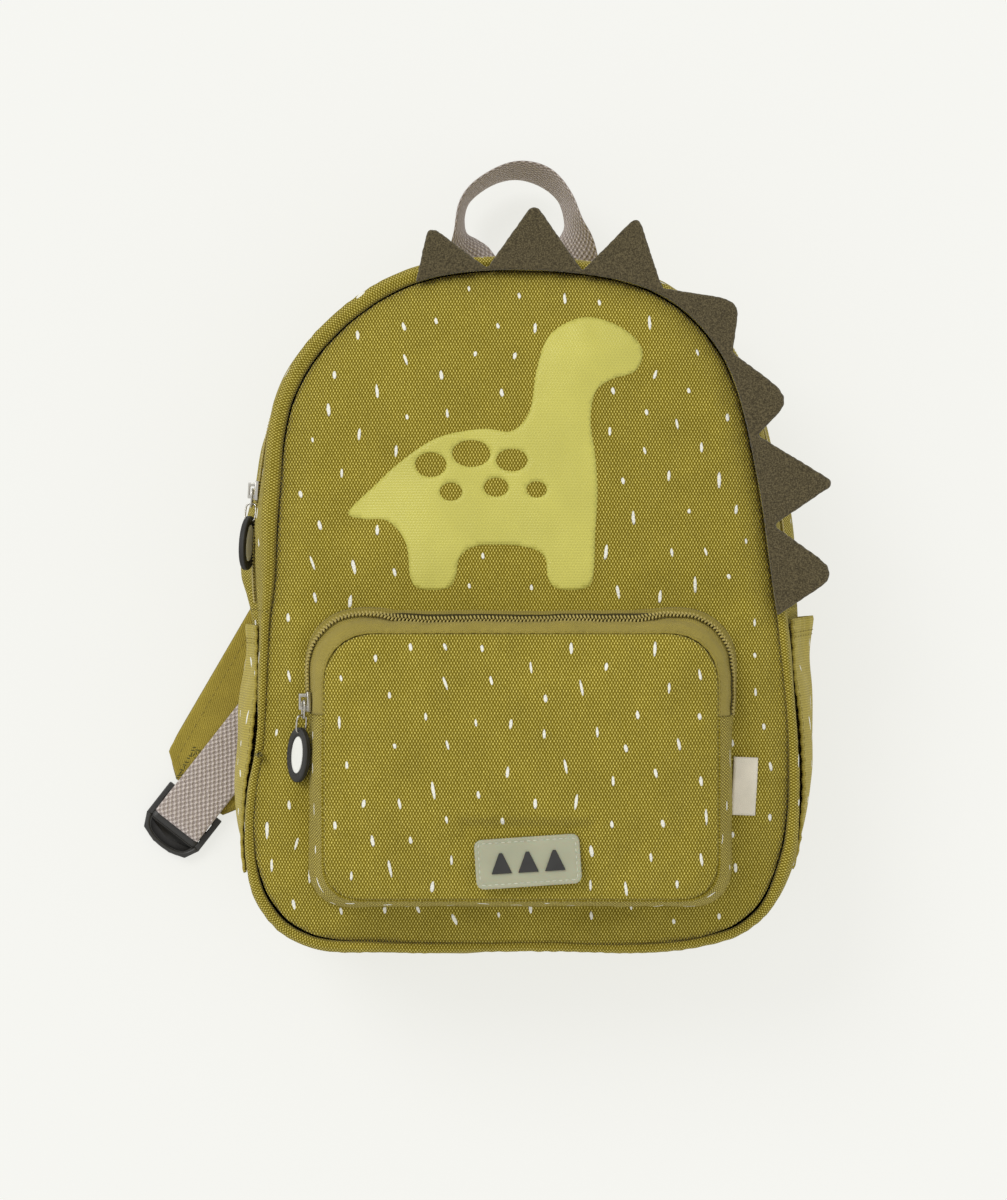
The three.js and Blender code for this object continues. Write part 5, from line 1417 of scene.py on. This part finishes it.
def make_strap(side):
    node = "strap_" + side
    rings = rings_of(node, 8)
    rows, marks = along_curve(np.hstack([rings.mean(1), rings.reshape(len(rings), -1)]), 2.2 * MM, 1)
    centres, corners = rows[:, :3], rows[:, 3:].reshape(-1, 8, 3)
    ways = unit(np.gradient(centres, axis=0))
    across = unit(np.cross(ways, UP_ROW))
    keep = 0.45 + 0.55 * end_scale(marks, 2.8 * MM)
    dents = waves(83 + len(side), 8, 22 * MM, 60 * MM)
    loops, uv, halves = [], [], []
    for centre, ring, aside, mark, kept in zip(centres, corners, across, marks, keep):
        offset = spline(ring, 6) - centre
        flat = offset @ aside
        half = np.abs(flat).max()
        level = offset[:, 2:3] * kept
        top = np.clip(level / 3 / MM, 0, 1)
        level = level - np.sign(level) * 0.9 * MM * bell(np.abs(flat) - (half - 5.5 * MM), 2.2 * MM)[:, None]
        level = level + 0.45 * MM * dents(mark + flat * 0, flat)[:, None] * top
        loop = centre + offset * [1, 1, 0] + level * UP_ROW
        loop[:, 2] = np.maximum(loop[:, 2], 0.06 * MM)
        loops.append(loop)
        halves.append(np.abs((loop - centre) @ aside).max())
        uv.extend([(mark, v) for v in flat])
    loops = np.array(loops)
    piece = Piece()
    stack(piece, loops, 0, np.array(uv))
    tree = BVHTree.FromPolygons(piece.points[0].tolist(), piece.faces)
    middle = len(loops) // 2
    flat = (loops[middle] - centres[middle]) @ across[middle]
    for edge, sign in ((int(np.argmax(flat)), 1), (int(np.argmin(flat)), -1)):
        path = smooth_rows(loops[2:-2, edge], 2, False)
        path[:, 2] = np.maximum(path[:, 2], 1.25 * MM)
        tube(piece, path - across[2:-2] * sign * 0.5 * MM, 1.15 * MM, 1)
    up = np.tile(UP_ROW, (len(loops), 1))
    for sign in (-1, 1):
        path = []
        for k in range(3, len(loops) - 3):
            spot = centres[k] + across[k] * sign * (halves[k] - 5.2 * MM)
            hit = top_at(tree, spot[0], spot[1], spot[2] + 0.02)[0]
            path.append(spot if hit is None else np.array(hit))
        stitches(piece, np.array(path), up[3:-3], 2, (2.4, 1.0, 0.45))
    first, last = (np.linalg.norm(ring[0] - ring[4]) for ring in (corners[0], corners[-1]))
    start, inward = (6, 1) if first < last else (len(loops) - 7, -1)
    spots, turns = [], []
    for place, rng in strap_square(centres, ways, across, inward, start, side):
        hit = top_at(tree, place[0], place[1], place[2] + 0.02)[0]
        if hit is not None:
            spots.append(np.array(hit))
            turn = rng.uniform(0, math.pi)
            turns.append((math.cos(turn), math.sin(turn), 0.0))
    beads(piece, spots, turns, np.tile(UP_ROW, (len(spots), 1)), (1.1, 0.3, 0.28), 3)
    made = piece.make(node + "_cloth", [STRAP_CLOTH, PIPING, THREAD, DARK_THREAD], "canvas", node)


CHANNEL = 2.6 * MM
PAD_HALF = 36 * MM


def make_back():
    """The padded back panel: one thick pad with sewn channels, rounded at its edge."""
    loop = outline_from_above("back_panel", 2.4 * MM, 4)
    low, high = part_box("back_panel")
    flat, faces = fill(loop, 2.6 * MM)
    seam = seam_tree(loop)
    inset = np.array([seam.find((x, y, 0))[2] for x, y in flat])
    middle = middle_of("back_panel")
    x, y = flat[:, 0] - middle.x, flat[:, 1] - middle.y
    rim = 2.6 * MM * (1 - np.sqrt(1 - (1 - np.clip(inset / (5 * MM), 0, 1)) ** 2))
    within_pad = np.abs(x) < PAD_HALF
    channel = bell(np.abs(x) - PAD_HALF, CHANNEL) + bell(y - 96 * MM, CHANNEL) * within_pad
    for level in (48, 0, -48, -96):
        channel += bell(y - (level + 0.2 * np.abs(x) / MM) * MM, CHANNEL) * within_pad
    channel = np.clip(channel, 0, 1) * np.clip((inset - 12 * MM) / (10 * MM), 0, 1)
    swell = 0.25 * MM * (waves(85, 8, 16 * MM, 50 * MM)(x, y) + 1) * np.clip(inset / (9 * MM), 0, 1)
    points = np.column_stack([flat, low.z + 0.1 * MM + rim + 1.9 * MM * channel + swell])
    top = np.column_stack([flat, high.z - 0.2 * MM - rim * 0.6])
    piece = Piece()
    piece.slab(points, top, faces[:, ::-1], flat)
    made = piece.make("back_panel_cloth", [BACK_CLOTH], "back_fabric", "back_panel")


# Copies of nodes with finer surfaces
def copy_of(node, flat=True):
    """A welded copy of a node; flat joins its coplanar triangles into larger faces."""
    work = bmesh.new()
    work.from_mesh(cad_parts[node].data)
    bmesh.ops.remove_doubles(work, verts=work.verts, dist=0.01 * MM)
    bmesh.ops.recalc_face_normals(work, faces=work.faces)
    if flat:
        bmesh.ops.dissolve_limit(work, angle_limit=math.radians(1.5), verts=work.verts, edges=work.edges)
    else:
        angles = {"angle_face_threshold": math.radians(50), "angle_shape_threshold": math.radians(60)}
        bmesh.ops.join_triangles(work, faces=work.faces, **angles)
    mesh = bpy.data.meshes.new(node + "_fine")
    work.to_mesh(mesh)
    work.free()
    return put(node + "_fine", mesh)


def modified(made, kind, **settings):
    """Adds one modifier to an object and applies it."""
    modifier = made.modifiers.new(kind.lower(), kind)
    for key, value in settings.items():
        setattr(modifier, key, value)
    bpy.context.view_layer.update()
    mesh = bpy.data.meshes.new_from_object(made.evaluated_get(bpy.context.evaluated_depsgraph_get()))
    made.modifiers.clear()
    made.data = mesh
    mesh.name = made.name
    mesh.polygons.foreach_set("use_smooth", np.full(len(mesh.polygons), True))


def dress(made, material, slot, node):
    made.data.materials.clear()
    made.data.materials.append(material)
    made.data.polygons.foreach_set("material_index", np.zeros(len(made.data.polygons), np.int32))
    settle(made, slot, node)


def make_bevelled(node, material, slot, width):
    made = copy_of(node)
    edge = {"limit_method": "ANGLE", "angle_limit": math.radians(28), "use_clamp_overlap": True}
    modified(made, "BEVEL", width=width, segments=3, **edge)
    modified(made, "WEIGHTED_NORMAL", weight=80)
    dress(made, material, slot, node)


def make_wire(node):
    """A wire link: swelled a little first, because subdivision draws its section in."""
    made = copy_of(node, flat=False)
    work = bmesh.new()
    work.from_mesh(made.data)
    for vertex in work.verts:
        vertex.co += vertex.normal * 0.09 * MM
    work.to_mesh(made.data)
    work.free()
    modified(made, "SUBSURF", levels=2)
    dress(made, METAL, "zip_metal", node)


def make_spikes():
    """Felt: the strip's edges worn soft, and its surface slightly uneven."""
    made = copy_of("spike_strip")
    modified(made, "REMESH", mode="VOXEL", voxel_size=0.75 * MM)
    mesh = made.data
    points = fetched(mesh.vertices, "co", 3)
    a, b = fetched(mesh.edges, "vertices", 2, np.int64).T
    for strength in (0.5, 0.5, -0.42, -0.42, 0.5, 0.5):
        points = points + (means(points, a, b) - points) * strength
    x, y, z = points.T
    fuzz = waves(91, 14, 2.2 * MM, 5 * MM)(x + z * 0.7, y - z * 0.7)
    sway = waves(92, 6, 26 * MM, 60 * MM)(x, y)
    points = points + fetched(mesh.vertices, "normal", 3) * 0.1 * MM * fuzz[:, None]
    points[:, 2] += 0.35 * MM * sway
    mesh.vertices.foreach_set("co", points.ravel())
    mesh.update()
    dress(made, FELT, "felt", "spike_strip")


# Moulded plates: ovals of the pulls, their insets, and the patch
def pose_of(node):
    """Centre, long, wide and upward axes, and half sizes of a flat node."""
    points, _ = arrays_of(node)
    axes = np.linalg.svd(points - points.mean(0), full_matrices=False)[2]
    if axes[2] @ UP_ROW < 0:
        axes[2] = -axes[2]
    axes[1] = np.cross(axes[2], axes[0])
    at = points @ axes.T
    low, high = at.min(0), at.max(0)
    return (low + high) / 2 @ axes, axes, (high - low) / 2


def oval_loop(half, inset):
    around = np.linspace(0, TURN, 64, endpoint=False)
    return np.column_stack([(half[0] - inset) * np.cos(around), (half[1] - inset) * np.sin(around)])


def rounded_loop(half, inset, radius=3 * MM, count=12):
    """A rounded rectangle, counter-clockwise; few points stay as they are."""
    a, b = half[0] - inset, half[1] - inset
    r = max(radius - inset, 0.25 * MM)
    out = []
    for k, (sx, sy) in enumerate(((1, 1), (-1, 1), (-1, -1), (1, -1))):
        for step in range(count):
            turn = (k + step / (count - 1)) * math.pi / 2
            out.append((sx * (a - r) + r * math.cos(turn), sy * (b - r) + r * math.sin(turn)))
    return resample(out, 1.2 * MM) if count > 6 else np.array(out)


def plate(node, profile, loop_at):
    """A closed moulded form from a short profile: inset in millimetres and height of each loop."""
    centre, axes, half = pose_of(node)
    loops = []
    for inset, height in profile:
        flat = loop_at(half[:2], inset * MM)
        loops.append(centre + flat @ axes[:2] + axes[2] * height * half[2])
    count = min(len(loop) for loop in loops)
    for k, loop in enumerate(loops):
        if len(loop) != count:
            loops[k] = resample(loop, lengths_along(loop, True)[-1] / count)[:count]
    piece = Piece()
    stack(piece, loops)
    return piece, centre, axes, half


OVAL_PROFILE = (
    (1.4, -1.0), (0.45, -0.93), (0.08, -0.7), (0.0, -0.35), (0.14, -0.05), (0.14, 0.05), (0.0, 0.35), (0.08, 0.7),
    (0.45, 0.93), (1.1, 1.0), (2.6, 1.0), (3.05, 0.93), (3.2, 0.72), (3.6, 0.55),
)
INSET_PROFILE = ((0.4, -1.0), (0.0, -0.9), (0.0, 0.8), (0.14, 0.95), (0.5, 1.02), (2.0, 1.06))
PATCH_PROFILE = (
    (0.3, -1.0), (0.0, -0.75), (0.0, 0.3), (0.12, 0.7), (0.45, 0.95), (0.9, 1.0), (1.35, 0.92), (1.7, 0.75),
    (2.1, 0.78), (2.5, 0.9), (4.0, 0.95), (7.0, 0.97),
)


def make_pull(pull):
    for part, profile, material, slot in (
        ("_oval", OVAL_PROFILE, BLACK_RUBBER, "pull_rubber"), ("_inset", INSET_PROFILE, PALE_INSET, "pull_inset"),
    ):
        plate(pull + part, profile, oval_loop)[0].make(pull + part + "_fine", [material], slot, pull + part)
    make_wire(pull + "_ring")
    make_wire(pull + "_link")
    make_bevelled(pull + "_slider", METAL, "zip_metal", 0.35 * MM)


def make_patch():
    piece, centre, axes, half = plate("patch", PATCH_PROFILE, rounded_loop)
    flat = resample(rounded_loop(half[:2], 1.8 * MM), 0.5 * MM)
    path = centre + flat @ axes[:2] + axes[2] * half[2] * 0.76
    stitches(piece, path, np.tile(axes[2], (len(path), 1)), 1, (1.9, 0.9, 0.5), True)
    piece.make("patch_fine", [PATCH, PALE_THREAD], "patch_rubber", "patch")
    for k in (1, 2, 3):
        make_bevelled(f"patch_mark_{k}", BLACK_RUBBER, "pull_rubber", 0.25 * MM)


def make_label():
    """Woven tape with a slight curl."""
    centre, axes, half = pose_of("label")
    u, v = np.meshgrid(np.linspace(-1, 1, 21), np.linspace(-1, 1, 9), indexing="ij")
    curl = 0.3 * MM * np.sin(u * 2.4 + 0.6) + 0.25 * MM * v ** 2
    surface = Rows(centre + np.dstack([u * half[0], v * half[1], curl + half[2]]) @ axes)
    if surface.normals[..., 2].mean() < 0:
        surface.faces = surface.faces[:, ::-1]
    piece = Piece()
    surface.into(piece, 0.9 * MM)
    piece.make("label_tape", [LABEL], "label_tape", "label")


# How each adjuster lies, in degrees; the bar in its slot and the edge of its lip, in mm
ADJUSTER_LIE = {"left": 232.0, "right": 287.8}
BAR_BACK, BAR_HALF_WIDE, BAR_HALF_HIGH, BAR_REACH, BAR_RISE = 10.5, 1.75, 1.2, 13.4, 0.3
LIP_DEPTH = 9.2
LIP_EDGE = 1.15


def make_keeper(side):
    """An adjuster's bar in front of the webbing's fold, its lip's raised edge, and a thin plate of painted shade in
    the recess inside the lip.
    """
    points, _ = arrays_of("adjuster_" + side)
    turn = math.radians(ADJUSTER_LIE[side])
    along = np.array([math.cos(turn), math.sin(turn), 0.0])
    across = np.array([-along[1], along[0], 0.0])
    far, top = (points @ along).max(), points[:, 2].max()
    middle = ((points @ across).max() + (points @ across).min()) / 2
    level = (top + points[:, 2].min()) / 2 + BAR_RISE * MM

    def place(out, aside, up):
        return along * out + across * (middle + aside) + UP_ROW * up

    piece = Piece()
    bar = far - BAR_BACK * MM
    section = rounded_loop((BAR_HALF_WIDE * MM, BAR_HALF_HIGH * MM), 0.0, 0.5 * MM, 4)
    shares = np.linspace(-1, 1, 9)
    stack(piece, [[place(bar + a, share * BAR_REACH * MM, level + b) for a, b in section] for share in shares])
    lip = points[(points @ along > far - LIP_DEPTH * MM) & (points[:, 2] > top - 0.1 * MM)]
    flat = {(round(p @ along, 4), round(p @ across - middle, 4)) for p in lip}
    outer = sorted((b, a) for a, b in flat if abs(b) > 13.2 * MM or a > far - 8 * MM)
    edge = spline([(a - LIP_EDGE * MM, b * 0.915) for b, a in outer], 6, closed=False)
    tube(piece, smooth_rows([place(a, b, top - 0.45 * MM) for a, b in edge], 2, False), LIP_EDGE * MM, 0, 10)
    # A thin near-black plate over the recess inside the lip: painted shade where the recess lies in shadow
    hollow = [(max(a - 1.3 * MM, bar + 2.1 * MM), b * 0.9) for a, b in edge]
    stack(piece, [[place(a, b, top + up * MM) for a, b in hollow] for up in (-0.3, 0.06)], 1)
    piece.make(f"adjuster_{side}_keeper", [BLACK_PLASTIC, HOLLOW_PAINTED_SHADE], "buckle_plastic")


set_camera()
set_stage()
make_shell()
make_main_zip()
make_front()
make_face()
make_pocket_side()
make_pocket_zip()
make_ribbons()
make_back()
make_spikes()
make_pull("main_zip")
make_pull("pocket_zip")
for name in ("left", "right"):
    make_side_pocket(name)
    make_strap(name)
    make_bevelled("adjuster_" + name, BLACK_PLASTIC, "buckle_plastic", 0.5 * MM)
    make_keeper(name)
make_patch()
make_label()
